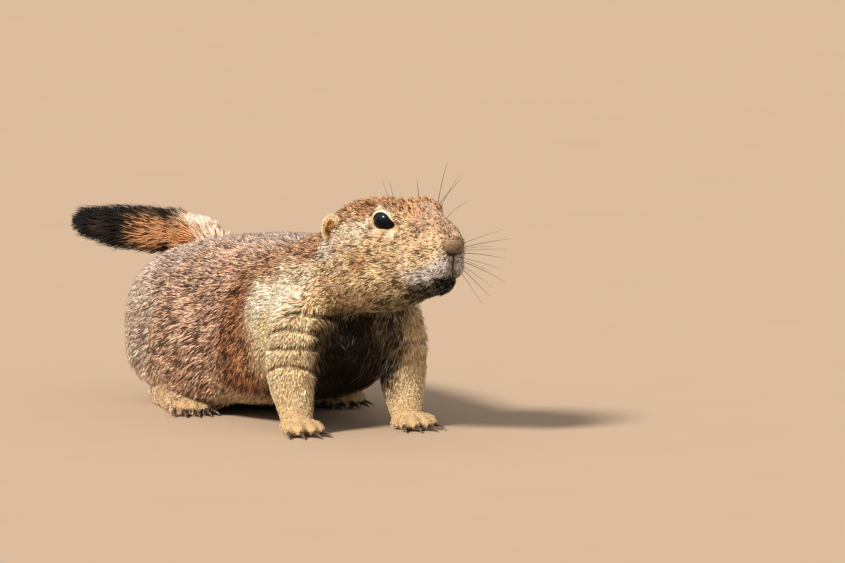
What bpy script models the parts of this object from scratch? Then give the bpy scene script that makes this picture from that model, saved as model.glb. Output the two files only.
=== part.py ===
"""A black-tailed prairie dog crouching on all fours, its head turned to its left and its tail held out.

The model is built in metres. +X is the way the chest faces, +Y is the animal's left and +Z is up.
Landmarks are measured from the point on the floor midway between the forefeet, and an empty that
carries every piece then moves the model so that its bounding box stands centred on the origin.
Every size is out to the tips of the coat.
"""

import math

import bmesh
import bpy
import numpy as np
from mathutils import Matrix, Vector
from mathutils.bvhtree import BVHTree

MM = 0.001
GAP = 0.3 * MM
UP = Vector((0, 0, 1))
FORWARD = Vector((1, 0, 0))
SIDES = {"right": -1, "left": 1}

# Driving dimensions.
TRUNK_START = -192 * MM
TRUNK_LENGTH = 189 * MM
BACK_HEIGHT = 90 * MM
HIP_HALF_WIDTH = 51 * MM
NOSE_TIP = Vector((62, 21, 94)) * MM
HEAD_TURN = math.radians(21)
EYE_RADIUS = 6.7 * MM
WRIST_HEIGHT = 14 * MM
ELBOW_HEIGHT = 37 * MM

# How finely the flesh is blended, and how many faces a whole skin keeps.
BODY_VOXEL = 1.3 * MM
HEAD_PASSES = 8
BODY_PASSES = 26
FINE_SKIN_FACES = 8900
PLAIN_SKIN_FACES = 2300
FOOT_VOXEL = 0.7 * MM
FOOT_PASSES = 3
FOREFOOT_FACES = 360
HINDFOOT_FACES = 370
# How far outside a limb's own masses the cut that parts it off runs.
LIMB_CUT = 1.6 * MM
# How far the haunch stands off the hind foot under it, whose sides the coarse cutter only follows roughly.
HINDFOOT_CLEARANCE = 0.7 * MM

COLOURS = {
    "flank_fur": (0.36, 0.23, 0.15),
    "back_fur": (0.27, 0.19, 0.14),
    "face_fur": (0.55, 0.38, 0.21),
    "throat_fur": (0.66, 0.50, 0.31),
    "leg_fur": (0.68, 0.46, 0.22),
    "tail_fur": (0.60, 0.27, 0.09),
    "ear_fur": (0.45, 0.26, 0.12),
    "eye": (0.010, 0.008, 0.008),
    "nose_skin": (0.38, 0.27, 0.20),
    "claw_horn": (0.05, 0.035, 0.03),
}
ROUGHNESS = {"eye": 0.06, "nose_skin": 0.5, "claw_horn": 0.35}
FUR_ROUGHNESS = 0.85

# The head's own frame: forward along the muzzle, to its left, and up.
HEAD_FORWARD = Vector((math.cos(HEAD_TURN), math.sin(HEAD_TURN), 0))
HEAD_LEFT = Vector((-math.sin(HEAD_TURN), math.cos(HEAD_TURN), 0))

# Trunk rings from the rump to the chest: share of the trunk's length, offset to the left in mm, then
# half width, top and underside as shares of the hips' half width and of the back's height.
TRUNK_RINGS = (
    (0.00, 6, 0.26, 0.44, 0.19),
    (0.03, 6, 0.56, 0.60, 0.08),
    (0.09, 6, 0.82, 0.745, 0.03),
    (0.18, 5, 0.97, 0.83, 0.02),
    (0.30, 4, 1.02, 0.88, 0.015),
    (0.43, 3, 0.98, 0.915, 0.03),
    (0.56, 2, 0.93, 0.945, 0.05),
    (0.68, 1, 0.86, 0.965, 0.09),
    (0.79, 0, 0.78, 0.98, 0.15),
    (0.88, 0, 0.68, 0.94, 0.24),
    (0.95, 0, 0.52, 0.84, 0.34),
    (1.00, 0, 0.28, 0.72, 0.44),
)
# Where between its underside and its top a trunk ring is widest.
TRUNK_WIDEST = 0.38

# Head rings: distance behind the nose tip, half width, top and underside, in mm.
HEAD_RINGS = (
    (-0.5, 4.5, -8.0, -13.0),
    (1.0, 7.8, -3.5, -16.5),
    (4.0, 10.2, 5.0, -21.5),
    (8.0, 11.8, 10.2, -24.5),
    (15.0, 14.4, 14.0, -27.5),
    (22.0, 17.2, 17.2, -29.5),
    (30.0, 20.2, 18.6, -32.0),
    (38.0, 22.8, 18.8, -34.5),
    (46.0, 24.3, 18.0, -36.0),
    (55.0, 24.8, 15.8, -36.0),
    (64.0, 23.2, 11.6, -33.0),
    (72.0, 18.0, 5.0, -26.0),
    (76.0, 9.0, -2.0, -16.0),
)

# Neck rings from the head to the withers: centre, half width, rise and drop, in mm.
NECK_RINGS = (
    (6, -1, 80, 22, 18, 22),
    (-12, -3, 74, 27, 20, 22),
    (-28, -2, 67, 32, 23, 25),
    (-46, 0, 60, 37, 28, 28),
    (-68, 0, 54, 41, 32, 32),
)

# Left foreleg rings from the shoulder down: centre, half width, reach forward and back, in mm.
FORELEG_RINGS = (
    (-17, 20, 68, 11, 13, 17),
    (-14, 23.5, 57, 13, 15, 19),
    (-9, 27.5, 45, 12.5, 13.5, 17),
    (-8, 29, 31, 11.5, 11.5, 15.5),
    (-6.5, 29, 20, 10, 9.5, 13.5),
    (-4.5, 28.6, 12, 8.2, 8.5, 9),
    (-3, 28.8, 7, 7.2, 8, 8),
    (-2, 28.8, 4, 5, 6, 6),
)
FOREFOOT_STAGGER = {"right": 1 * MM, "left": -1.5 * MM}

# Left hind foot rings from the heel forward: centre, half width, rise and drop, in mm.
HINDFOOT_RINGS = (
    (-154, 31, 6, 3, 3, 4),
    (-150, 32, 6.5, 5.5, 5, 6.5),
    (-138, 34, 7, 6.8, 6, 8),
    (-122, 36.5, 6.5, 7.6, 6, 8),
    (-109, 38.5, 5.5, 8.6, 5.2, 7),
    (-101, 39.5, 4.5, 8.2, 4.0, 6),
    (-98, 40, 4, 5, 2.5, 4),
)

# Tail rings from inside the rump to the tip: centre, the core's radius and the coat's, in mm.
TAIL_RINGS = (
    (-166, 6, 52, 7.0, 8.0),
    (-177, 9, 64, 7.0, 8.8),
    (-186, 11, 73, 6.3, 9.4),
    (-199, 3, 75.5, 5.4, 10.0),
    (-212, -6, 75, 4.9, 10.4),
    (-225.5, -15.5, 75.5, 4.3, 9.6),
    (-238.5, -25, 77, 2.8, 7.4),
    (-248.5, -32.0, 77.6, 1.0, 1.3),
)
# The tail's locks: the ring that each row of them grows from, and how many stand round it.
LOCK_ROWS = ((1.2, 6), (2.1, 6), (3.0, 6), (3.9, 6), (4.75, 5), (5.5, 4))
# How many rings of the tail a lock lies over.
LOCK_REACH = 1.65
LOCK_HALF_WIDTH = 4.3 * MM
LOCK_HALF_THICKNESS = 0.7 * MM
# Along a lock from its root: share of its length, then of the way from the core's skin to the coat's
# tips, then its width and thickness as shares of the whole ones.
LOCK_PROFILE = ((0.0, -0.5, 0.55, 1.0), (0.3, 0.4, 1.0, 1.0), (0.7, 0.85, 0.85, 0.8), (1.0, 1.0, 0.12, 0.3))

# The line of the mouth on the left side: distance behind the nose, half width and height, in mm.
MOUTH_LINE = (
    (0.0, 0.0, -17.2),
    (1.6, 5.0, -17.6),
    (5.5, 9.4, -18.6),
    (11.5, 12.6, -20.6),
    (15.0, 14.0, -22.2),
)
# The nose: how far its middle lies behind the landmark and below it, and its radii, in mm.
NOSE_BACK, NOSE_DROP, NOSE_RADII = 1.4, 0.4, (5.4, 6.2, 5.2)
# The slit under the left half of the nose, out to the nostril.
NOSTRIL_LINE = ((-1.2, 0.0, -5.6), (-1.7, 2.5, -4.5), (-1.0, 4.4, -3.3), (1.4, 5.8, -2.2))
NOSTRIL_RADII = (0.6, 0.8, 1.3, 0.8)
PHILTRUM_LINE = ((-1.2, 0.0, -5.6), (-1.2, 0.0, -11.0), (-0.4, 0.0, -17.2))

# Whiskers of the brows and the muzzle: the root behind the nose tip, to the left and up, then how far
# the tip lies from it, in mm. Those of the left side spread wider, as the head turns away from them.
WHISKERS = (
    ((19.0, 10.0, 14.5), (0.0, 7.0, 21.5)),
    ((20.0, 10.5, 13.5), (-5.0, 13.5, 15.0)),
    ((31.0, 10.0, 17.6), (3.5, 2.0, 11.0)),
    ((31.0, -10.0, 17.6), (3.5, -1.5, 11.0)),
    ((28.0, -9.5, 17.6), (1.5, -2.5, 12.0)),
    ((8.0, 10.0, -5.0), (-17.0, 22.0, 5.0)),
    ((9.0, 10.5, -7.0), (-16.0, 21.0, -3.0)),
    ((8.0, 10.5, -9.5), (-14.0, 19.0, -11.0)),
    ((7.0, 10.0, -11.5), (-10.0, 14.0, -17.0)),
    ((8.0, -10.0, -5.0), (-1.0, -16.0, 4.0)),
    ((9.0, -10.5, -7.5), (1.0, -17.0, -2.0)),
    ((8.0, -10.5, -10.0), (-1.0, -14.0, -8.0)),
)
# How deep a whisker's root is sunk, and its radii at the root, half way and at the tip.
WHISKER_SINK = 1.2 * MM
WHISKER_RADII = (0.42 * MM, 0.32 * MM, 0.1 * MM)


def clear_scene():
    for obj in list(bpy.data.objects):
        bpy.data.objects.remove(obj, do_unlink=True)


def new_collection(name):
    collection = bpy.data.collections.new(name)
    bpy.context.scene.collection.children.link(collection)
    return collection


def material(name):
    found = bpy.data.materials.get(name)
    if found:
        return found
    made = bpy.data.materials.new(name)
    made.use_nodes = True
    shader = made.node_tree.nodes["Principled BSDF"]
    shader.inputs["Base Color"].default_value = (*COLOURS[name], 1)
    shader.inputs["Roughness"].default_value = ROUGHNESS.get(name, FUR_ROUGHNESS)
    shader.inputs["Metallic"].default_value = 0
    return made


def link(name, mesh):
    obj = bpy.data.objects.new(name, mesh)
    bpy.context.scene.collection.objects.link(obj)
    return obj


def settle(obj):
    """Makes an object's modifiers and placement part of its mesh, and keeps its name."""
    bpy.context.view_layer.update()
    graph = bpy.context.evaluated_depsgraph_get()
    mesh = bpy.data.meshes.new_from_object(obj.evaluated_get(graph))
    mesh.transform(obj.matrix_world)
    name = obj.name
    bpy.data.objects.remove(obj, do_unlink=True)
    return link(name, mesh)


def edited(obj, change):
    """Runs a function on the object's mesh as a bmesh."""
    shape = bmesh.new()
    shape.from_mesh(obj.data)
    change(shape)
    shape.to_mesh(obj.data)
    shape.free()
    return obj


def axes_along(direction, up=UP):
    """A rotation whose X is the direction, and whose Z is as near to up as it can be."""
    x = Vector(direction).normalized()
    y = Vector(up).cross(x).normalized()
    return Matrix((x, y, x.cross(y))).transposed()


HEAD_AXES = axes_along(HEAD_FORWARD)


def ellipsoid(name, centre, radii, axes=None, segments=32):
    bpy.ops.mesh.primitive_uv_sphere_add(segments=segments, ring_count=segments // 2, radius=1)
    obj = bpy.context.object
    obj.name = name
    turn = (axes or Matrix.Identity(3)).to_4x4()
    obj.matrix_world = Matrix.Translation(centre) @ turn @ Matrix.Diagonal((*radii, 1))
    return settle(obj)


def eased(rows, per_span):
    """Rows of numbers with more rows between them, along a Catmull-Rom curve through each column."""
    rows = np.asarray(rows, float)
    ends = np.vstack([2 * rows[0] - rows[1], rows, 2 * rows[-1] - rows[-2]])
    share = (np.arange(per_span) / per_span)[:, None]
    out = []
    for a, b, c, d in zip(ends, ends[1:], ends[2:], ends[3:]):
        bend = share**2 * (a - 2.5 * b + 2 * c - 0.5 * d) + share**3 * (1.5 * (b - c) + 0.5 * (d - a))
        out.append(b + share * 0.5 * (c - a) + bend)
    return np.vstack([*out, rows[-1:]])


def loft(name, rings, up_hint=UP, per_span=4, sides=28, grow=0.0, fullness=2.0):
    """A closed skin over oval rings threaded on a path.

    A ring is (x, y, z, half width, rise, drop): rise is its reach along the up hint and drop its
    reach the other way. Grow widens every ring by the same distance and lengthens both ends, and a
    fullness above 2 makes the ovals squarer.
    """
    rows = eased(rings, per_span)
    centres, reach = rows[:, :3].copy(), np.maximum(rows[:, 3:], 0.2 * MM) + grow
    along = np.gradient(centres, axis=0)
    along /= np.linalg.norm(along, axis=1)[:, None]
    centres[0] -= along[0] * grow
    centres[-1] += along[-1] * grow
    side = np.cross(along, np.asarray(up_hint, float))
    side /= np.linalg.norm(side, axis=1)[:, None]
    up = np.cross(side, along)
    angle = np.arange(sides) / sides * 2 * math.pi
    cosine = np.sign(np.cos(angle)) * np.abs(np.cos(angle)) ** (2 / fullness)
    sine = np.sign(np.sin(angle)) * np.abs(np.sin(angle)) ** (2 / fullness)
    lift = np.where(sine > 0, sine * reach[:, 1:2], sine * reach[:, 2:3])
    points = centres[:, None] + (cosine * reach[:, :1])[..., None] * side[:, None]
    points = points + lift[..., None] * up[:, None]
    count = len(rows) * sides
    faces = [tuple(range(sides)), tuple(range(count - 1, count - sides - 1, -1))]
    for ring in range(len(rows) - 1):
        for spoke in range(sides):
            a, b = ring * sides + spoke, ring * sides + (spoke + 1) % sides
            faces.append((a, a + sides, b + sides, b))
    mesh = bpy.data.meshes.new(name)
    mesh.from_pydata([tuple(point) for point in points.reshape(-1, 3)], [], faces)
    return edited(link(name, mesh), lambda shape: bmesh.ops.recalc_face_normals(shape, faces=shape.faces[:]))


def tube(name, path, radii, **options):
    """A round tapered skin along a path of points, with one radius for each."""
    rings = [(*point, radius, radius, radius) for point, radius in zip(path, radii)]
    return loft(name, rings, **options)


def plate(name, outline, centre, axes, depth):
    """A flat outline in the Y and Z of its axes, drawn out along their X by the depth."""
    curve = bpy.data.curves.new(name, "CURVE")
    curve.dimensions = "2D"
    curve.fill_mode = "BOTH"
    curve.extrude = depth / 2
    spline = curve.splines.new("POLY")
    spline.points.add(len(outline) - 1)
    for point, (y, z) in zip(spline.points, outline):
        point.co = (y, z, 0, 1)
    spline.use_cyclic_u = True
    obj = bpy.data.objects.new(name, curve)
    bpy.context.scene.collection.objects.link(obj)
    turn = Matrix((axes.col[1], axes.col[2], axes.col[0])).transposed()
    obj.matrix_world = Matrix.Translation(centre + axes.col[0] * depth / 2) @ turn.to_4x4()
    obj = settle(obj)

    def weld(shape):
        bmesh.ops.remove_doubles(shape, verts=shape.verts[:], dist=1e-6)
        bmesh.ops.recalc_face_normals(shape, faces=shape.faces[:])

    return edited(obj, weld)


def block(point, towards, grow=0.0, size=0.7):
    """A large block on the side of a plane that the direction points to, grown over the plane."""
    axes = axes_along(towards, UP if abs(Vector(towards).normalized().z) < 0.9 else FORWARD)
    bpy.ops.mesh.primitive_cube_add(size=size)
    obj = bpy.context.object
    obj.matrix_world = Matrix.Translation(point + axes.col[0] * (size / 2 - grow)) @ axes.to_4x4()
    return settle(obj)


def joined(name, objects):
    """One object that holds the shapes of several."""
    shape = bmesh.new()
    for obj in objects:
        shape.from_mesh(obj.data)
        bpy.data.objects.remove(obj, do_unlink=True)
    mesh = bpy.data.meshes.new(name)
    shape.to_mesh(mesh)
    shape.free()
    return link(name, mesh)


def blended(obj, voxel, passes):
    """The union of an object's overlapping shapes, with its creases filled."""
    remesh = obj.modifiers.new("union", "REMESH")
    remesh.mode = "VOXEL"
    remesh.voxel_size = voxel
    smooth = obj.modifiers.new("blend", "SMOOTH")
    smooth.factor = 0.5
    smooth.iterations = passes
    return settle(obj)


def thinned(obj, name, faces):
    """A copy of a skin with about that many triangles."""
    copy = link(name, obj.data.copy())
    thin = copy.modifiers.new("thin", "DECIMATE")
    thin.ratio = faces / (2 * len(copy.data.polygons))
    thin.use_collapse_triangulate = True
    return settle(copy)


def shell_volume(faces):
    """Volume inside a closed set of triangles."""
    total = 0.0
    for face in faces:
        a, b, c = (vert.co for vert in face.verts)
        total += a.dot(b.cross(c)) / 6
    return abs(total)


def keep_largest(shape):
    """Makes a mesh of triangles and leaves only its largest closed surface."""
    bmesh.ops.triangulate(shape, faces=shape.faces[:])
    left = set(shape.faces)
    shells = []
    while left:
        stack = [left.pop()]
        shell = list(stack)
        while stack:
            for edge in stack.pop().edges:
                for face in edge.link_faces:
                    if face in left:
                        left.remove(face)
                        stack.append(face)
                        shell.append(face)
        shells.append(shell)
    shells.sort(key=shell_volume)
    loose = [face for shell in shells[:-1] for face in shell]
    bmesh.ops.delete(shape, geom=loose, context="FACES")


def carve(obj, cutter, operation="DIFFERENCE"):
    """Cuts the object with a cutter, which is used up, and keeps the largest piece."""
    modifier = obj.modifiers.new("carve", "BOOLEAN")
    modifier.operation = operation
    modifier.solver = "EXACT"
    modifier.object = cutter
    obj = settle(obj)
    bpy.data.objects.remove(cutter, do_unlink=True)
    return edited(obj, keep_largest)


def fused(obj, others):
    """The union of an object with closed shapes that reach into it, which are used up."""
    together = new_collection("together")
    for other in others:
        bpy.context.scene.collection.objects.unlink(other)
        together.objects.link(other)
    modifier = obj.modifiers.new("fuse", "BOOLEAN")
    modifier.operation = "UNION"
    modifier.solver = "EXACT"
    modifier.operand_type = "COLLECTION"
    modifier.collection = together
    obj = settle(obj)
    for other in others:
        bpy.data.objects.remove(other, do_unlink=True)
    bpy.data.collections.remove(together)
    return edited(obj, keep_largest)


def part_off(body, name, cutter):
    """Takes what lies inside a cutter as a piece of its own, and leaves a gap round it.

    The cutter is a function that gives the cutting shape grown by a distance.
    """
    piece = carve(link(name, body.data.copy()), cutter(0.0), "INTERSECT")
    return piece, carve(body, cutter(GAP))


def head_mm(back, left, up):
    """The world point that lies so many mm behind the nose tip, to its left and above it."""
    return NOSE_TIP + (-HEAD_FORWARD * back + HEAD_LEFT * left + UP * up) * MM


def in_metres(rows):
    return [tuple(value * MM for value in row) for row in rows]


def on_side(rings, side):
    """Rings drawn for the left side, on the side asked for."""
    return [(x, y * SIDES[side], *rest) for x, y, *rest in rings]


def trunk():
    rings = []
    for share, left, width, top, under in TRUNK_RINGS:
        height, bottom = top * BACK_HEIGHT, under * BACK_HEIGHT
        middle = bottom + TRUNK_WIDEST * (height - bottom)
        x = TRUNK_START + share * TRUNK_LENGTH
        rings.append((x, left * MM, middle, width * HIP_HALF_WIDTH, height - middle, middle - bottom))
    # The rings run forward, so the ovals' rise is upward.
    return loft("trunk", rings, fullness=2.6)


def skull():
    rings = []
    for back, width, top, under in HEAD_RINGS:
        half = (top - under) / 2
        centre = head_mm(back, 0, (top + under) / 2)
        rings.append((*centre, width * MM, half * MM, half * MM))
    return loft("skull", rings, fullness=2.1)


def eye_axes(side):
    """X points out of the eye, a little forward and up, and Z is the eye's own upright."""
    outward = HEAD_LEFT * SIDES[side] * 0.92 + HEAD_FORWARD * 0.36 + UP * 0.10
    return axes_along(outward)


def eye_centre(side):
    return head_mm(29.9, 12.2 * SIDES[side], 8.5)


def lips(side):
    """The rolls of skin above and below the line of the mouth."""
    rolls = []
    for name, drop, radius in (("upper_lip", -1.5, 1.9), ("lower_lip", 1.8, 1.6)):
        path = []
        for back, left, up in MOUTH_LINE[:-1]:
            path.append(head_mm(back + 1.2, (left - 2.0) * SIDES[side], up - drop))
        radii = np.linspace(radius, 0.3 * radius, len(path)) * MM
        rolls.append(tube(name, path, radii, sides=12))
    return rolls


def foreleg(side, grow=0.0, **options):
    rings = on_side(in_metres(FORELEG_RINGS), side)
    rings = [(x + FOREFOOT_STAGGER[side], *rest) for x, *rest in rings]
    return loft(f"foreleg_{side}", rings, up_hint=FORWARD, grow=grow, **options)


def haunch(side, grow=0.0, segments=32):
    centre = Vector((-109, 3 + 29 * SIDES[side], 36)) * MM
    radii = Vector((39, 26, 35)) * MM + Vector((grow,) * 3)
    return ellipsoid("haunch", centre, radii, axes_along((1, 0.1 * SIDES[side], -0.12)), segments)


def tail_core():
    """The tail's flesh, which ends short of the coat's tip."""
    core = TAIL_RINGS[:-1]
    return tube("tail", [Vector(ring[:3]) * MM for ring in core], [ring[3] * MM for ring in core])


def tail_lock(rows, root, angle, reach, twist):
    """A flat lock that leaves the tail's core and lies back over it.

    The rows are the tail's rings with rings between them. The root is counted in rings, the angle runs
    round the tail from its top, and the twist is how far the lock leans round the tail by its tip.
    """
    stations = np.linspace(0, len(TAIL_RINGS) - 1, len(rows))
    along = np.gradient(rows[:, :3], axis=0)

    def at(table, place):
        return Vector([np.interp(place, stations, column) for column in table.T])

    rings, outward = [], None
    for share, height, width, thickness in LOCK_PROFILE:
        place = min(root + share * reach, stations[-1])
        *centre, core, coat = at(rows, place)
        turn = axes_along(at(along, place))
        lean = angle + twist * share
        outward = turn @ Vector((0, math.sin(lean), math.cos(lean)))
        point = Vector(centre) + outward * (core + height * (coat - core))
        flat = LOCK_HALF_THICKNESS * thickness
        rings.append((*point, LOCK_HALF_WIDTH * width, flat, flat))
    return loft("lock", rings, up_hint=outward, per_span=1, sides=4)


def tail_locks():
    """Rows of locks round the tail, each row set between the locks of the last and varied a little."""
    rows = eased(in_metres(TAIL_RINGS), 6)
    draw = np.random.default_rng(7)
    locks = []
    for number, (root, count) in enumerate(LOCK_ROWS):
        for lock in range(count):
            angle = 2 * math.pi * (lock + 0.5 * (number % 2) + draw.uniform(-0.15, 0.15)) / count
            start = root + draw.uniform(-0.12, 0.12)
            reach, twist = LOCK_REACH * draw.uniform(0.9, 1.1), draw.uniform(-0.3, 0.3)
            locks.append(tail_lock(rows, start, angle, reach, twist))
    return locks


def flesh_masses():
    """Every mass of the body as an overlapping closed shape."""
    masses = [trunk(), skull(), tail_core(), loft("neck", in_metres(NECK_RINGS))]
    masses.append(ellipsoid("breast", Vector((-19, 0, 52)) * MM, Vector((17, 26, 22)) * MM))
    masses.append(ellipsoid("seat", Vector((-167, 6, 35)) * MM, Vector((25, 32, 31)) * MM))
    masses.append(ellipsoid("chin", head_mm(9, 0, -21), Vector((7, 7, 4.5)) * MM, HEAD_AXES))
    masses.append(ellipsoid("bridge", head_mm(11, 0, 4), Vector((9, 5.5, 6)) * MM, HEAD_AXES))
    masses.append(ellipsoid("snout", head_mm(5, 0, -0.6), Vector((5.8, 7.2, 6.6)) * MM, HEAD_AXES))
    for name, side in SIDES.items():
        masses += [foreleg(name), haunch(name), *lips(name)]
        at = Vector((-37, 24 * side, 51)) * MM
        slope = axes_along((1, 0.1 * side, -0.35))
        masses.append(ellipsoid("shoulder", at, Vector((34, 17, 27)) * MM, slope))
        at = head_mm(46, 11.5 * side, -14)
        masses.append(ellipsoid("cheek", at, Vector((18, 14.5, 17)) * MM, HEAD_AXES))
        at = head_mm(5.9, 4.8 * side, -12.0)
        masses.append(ellipsoid("whisker_pad", at, Vector((7.4, 5.6, 6.4)) * MM, HEAD_AXES))
        at = head_mm(29, 8.6 * side, 11.2)
        masses.append(ellipsoid("brow", at, Vector((11, 6.4, 6.0)) * MM, HEAD_AXES))
        lids = Vector((7.8, 9.6, 8.9)) * MM
        masses.append(ellipsoid("lids", eye_centre(name), lids, eye_axes(name)))
    return masses


def make_skin(name, passes, faces):
    """The whole animal's surface without its feet, ears, eyes and nose."""
    flesh = blended(joined("flesh", flesh_masses()), BODY_VOXEL, passes)
    skin = thinned(flesh, name, faces)
    bpy.data.objects.remove(flesh, do_unlink=True)
    return skin


def eye_outline(radius=4.15 * MM, points=24):
    """The opening between the lids: a circle drawn out to a low corner in front.

    Its first coordinate runs forward and its second up, both from the eye's own axis.
    """
    corner_angle, corner_reach, corner_width = math.radians(-27), 0.72, math.radians(27)
    outline = []
    for step in range(points):
        angle = corner_angle + 2 * math.pi * step / points
        turn = (angle - corner_angle + math.pi) % (2 * math.pi) - math.pi
        reach = radius * (1 + corner_reach * math.exp(-((turn / corner_width) ** 2)))
        outline.append((1.1 * reach * math.cos(angle) - 1.1 * MM, 0.93 * reach * math.sin(angle)))
    return outline


def eye_slit(side):
    """The cutter that opens the lids."""
    axes = eye_axes(side)
    # On the left side the axes' Y points back, so the outline's forward is turned over.
    outline = [(-SIDES[side] * forward, up) for forward, up in eye_outline()]
    return plate("eye_slit", outline, eye_centre(side), axes, 14 * MM)


def nose_shape(grow=0.0):
    radii = Vector(NOSE_RADII) * MM + Vector((grow,) * 3)
    return ellipsoid("nose", head_mm(NOSE_BACK, 0, -NOSE_DROP), radii, HEAD_AXES, segments=16)


def surface_path(tree, line, side, sink):
    """A line near the head brought on to its surface, and then a little inside it."""
    path = []
    for back, left, up in eased(line, 3):
        point, normal, _, _ = tree.find_nearest(head_mm(back, left * SIDES[side], up))
        path.append(point - normal * sink)
    return path


def mouth_grooves(tree):
    """Cutters for the two halves of the mouth's line, which fade out at its corners."""
    grooves = []
    for side in SIDES:
        path = surface_path(tree, MOUTH_LINE, side, 0.1 * MM)
        radii = np.linspace(0.85, 0.25, len(path)) * MM
        grooves.append(tube("mouth", path, radii, per_span=1, sides=8, grow=0.02 * MM))
    return grooves


def nostril(side):
    path = [head_mm(back, left * SIDES[side], up) for back, left, up in NOSTRIL_LINE]
    radii = [radius * MM for radius in NOSTRIL_RADII]
    return tube("nostril", path, radii, up_hint=HEAD_FORWARD, per_span=2, sides=6)


def philtrum():
    path = [head_mm(*point) for point in PHILTRUM_LINE]
    return tube("philtrum", path, [0.6 * MM] * 3, up_hint=HEAD_FORWARD, per_span=3, sides=8)


def head_plane(grow=0.0):
    """The block ahead of the cut from the nape down to the throat."""
    return block(head_mm(58, 0, -12), HEAD_FORWARD * 0.9 + UP * 0.43, grow)


def neck_plane(grow=0.0):
    return block(head_mm(79, 0, -12), HEAD_FORWARD * 0.86 + UP * 0.5, grow)


def whiskers(tree):
    """Thin tapered hairs that stand on the head, a little bowed against their own weight."""
    hairs = []
    for root, way in WHISKERS:
        point, _, _, _ = tree.find_nearest(head_mm(*root))
        reach = head_mm(*way) - NOSE_TIP
        bow = UP * 0.06 * reach.length
        path = [point - reach.normalized() * WHISKER_SINK, point + reach * 0.5 + bow, point + reach]
        hairs.append(tube("whisker", path, WHISKER_RADII, up_hint=HEAD_FORWARD, per_span=1, sides=4))
    return hairs


def make_head(skin):
    head = carve(skin, head_plane(), "INTERSECT")
    head.name = "head"
    tree = BVHTree.FromObject(head, bpy.context.evaluated_depsgraph_get())
    for groove in mouth_grooves(tree):
        head = carve(head, groove)
    head = carve(head, nose_shape(GAP))
    head = carve(head, philtrum())
    for side in SIDES:
        head = carve(head, nostril(side))
        socket = EYE_RADIUS + GAP
        # The slit comes first: a socket with no opening would be a sealed hollow.
        head = carve(head, eye_slit(side))
        head = carve(head, ellipsoid("socket", eye_centre(side), (socket,) * 3, eye_axes(side), 20))
    return fused(head, whiskers(tree))


def make_nose():
    nose = nose_shape()
    nose.name = "nose"
    for side in SIDES:
        nose = carve(nose, nostril(side))
    return nose


def make_eye(side):
    axes = eye_axes(side)
    # The poles of the ball lie along the eye's own axis.
    poles = Matrix((axes.col[1], axes.col[2], axes.col[0])).transposed()
    return ellipsoid(f"eye_{side}", eye_centre(side), (EYE_RADIUS,) * 3, poles, segments=16)


def make_ear(side, head):
    """A low round flap that opens forward, with its cup, cut where it meets the head."""
    outward = HEAD_LEFT * SIDES[side] * 0.86 + HEAD_FORWARD * 0.48 + UP * 0.05
    axes = axes_along(outward)
    centre = head_mm(56.2, 21.9 * SIDES[side], 3.6)
    ear = ellipsoid(f"ear_{side}", centre, Vector((2.5, 4.6, 6.1)) * MM, axes, segments=18)
    cup = ellipsoid("cup", centre + axes.col[0] * 1.9 * MM, Vector((2.6, 3.2, 4.5)) * MM, axes, 12)
    ear = carve(ear, cup)
    clearance = link("clearance", head.data.copy())

    def swell(shape):
        shape.normal_update()
        for vert in shape.verts:
            vert.co += vert.normal * GAP

    return carve(ear, edited(clearance, swell))


def digit(name, base, heading, length, radius, tip_height):
    """A toe from the foot down to the floor."""
    reach = Vector((math.cos(heading), math.sin(heading), 0)) * length
    end = base + reach
    end.z = tip_height
    path = [base, base + reach * 0.35 + UP * 0.8 * MM, base + reach * 0.75, end]
    path[2].z = (path[1].z + tip_height) / 2
    return tube(name, path, [radius * 1.1, radius * 1.1, radius, radius * 0.75], sides=14)


def claw(name, root, heading, length, radius, grow=0.0):
    """A tapered claw that curves down to just above the floor."""
    reach = Vector((math.cos(heading), math.sin(heading), 0)) * length
    path = [root - reach * 0.25, root + reach * 0.3 + UP * 0.5 * MM, root + reach]
    path[2].z = 0.75 * MM
    radii = [radius, radius * 0.85, 0.25 * MM]
    return tube(name, path, radii, per_span=2, sides=5, grow=grow)


# Toes from the inner to the outer side: splay in degrees, length and sideways offset in mm.
FORE_TOES = ((-22, 8.0, -5.6), (-8, 10.5, -2.0), (7, 10.5, 2.0), (21, 8.0, 5.6))
HIND_TOES = ((-24, 6.5, -6.6), (-11, 9.5, -3.5), (0, 10.5, 0), (11, 9.5, 3.5), (25, 6.0, 6.6))


def foot_parts(side, foot_name, palm, heading, toes, toe_radius, claw_length):
    """Toe masses, and the places of their claws, for a foot whose palm ends at a point."""
    masses, claws = [], []
    across = Vector((-math.sin(heading), math.cos(heading), 0))
    for number, (splay, length, offset) in enumerate(toes, 1):
        turn = heading + math.radians(splay) * SIDES[side]
        base = palm + across * offset * MM * SIDES[side]
        masses.append(digit("toe", base, turn, length * MM, toe_radius, 0.72 * toe_radius))
        tip = base + Vector((math.cos(turn), math.sin(turn), 0)) * length * MM
        tip.z = 0.95 * toe_radius
        claws.append((f"claw_{foot_name}_{side}_{number}", tip, turn, claw_length))
    return masses, claws


def finished_foot(name, masses, claws, faces, claw_radius):
    """A foot on a flat sole, with sockets for its claws, and the claws."""
    skin = blended(joined("foot_masses", masses), FOOT_VOXEL, FOOT_PASSES)
    foot = thinned(skin, name, faces)
    bpy.data.objects.remove(skin, do_unlink=True)
    foot = carve(foot, block(Vector((0, 0, 0)), -UP))
    sockets = [claw("socket", *place, claw_radius, grow=GAP) for _, *place in claws]
    foot = carve(foot, joined("sockets", sockets))
    return [foot, *(claw(*place, claw_radius) for place in claws)]


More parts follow.
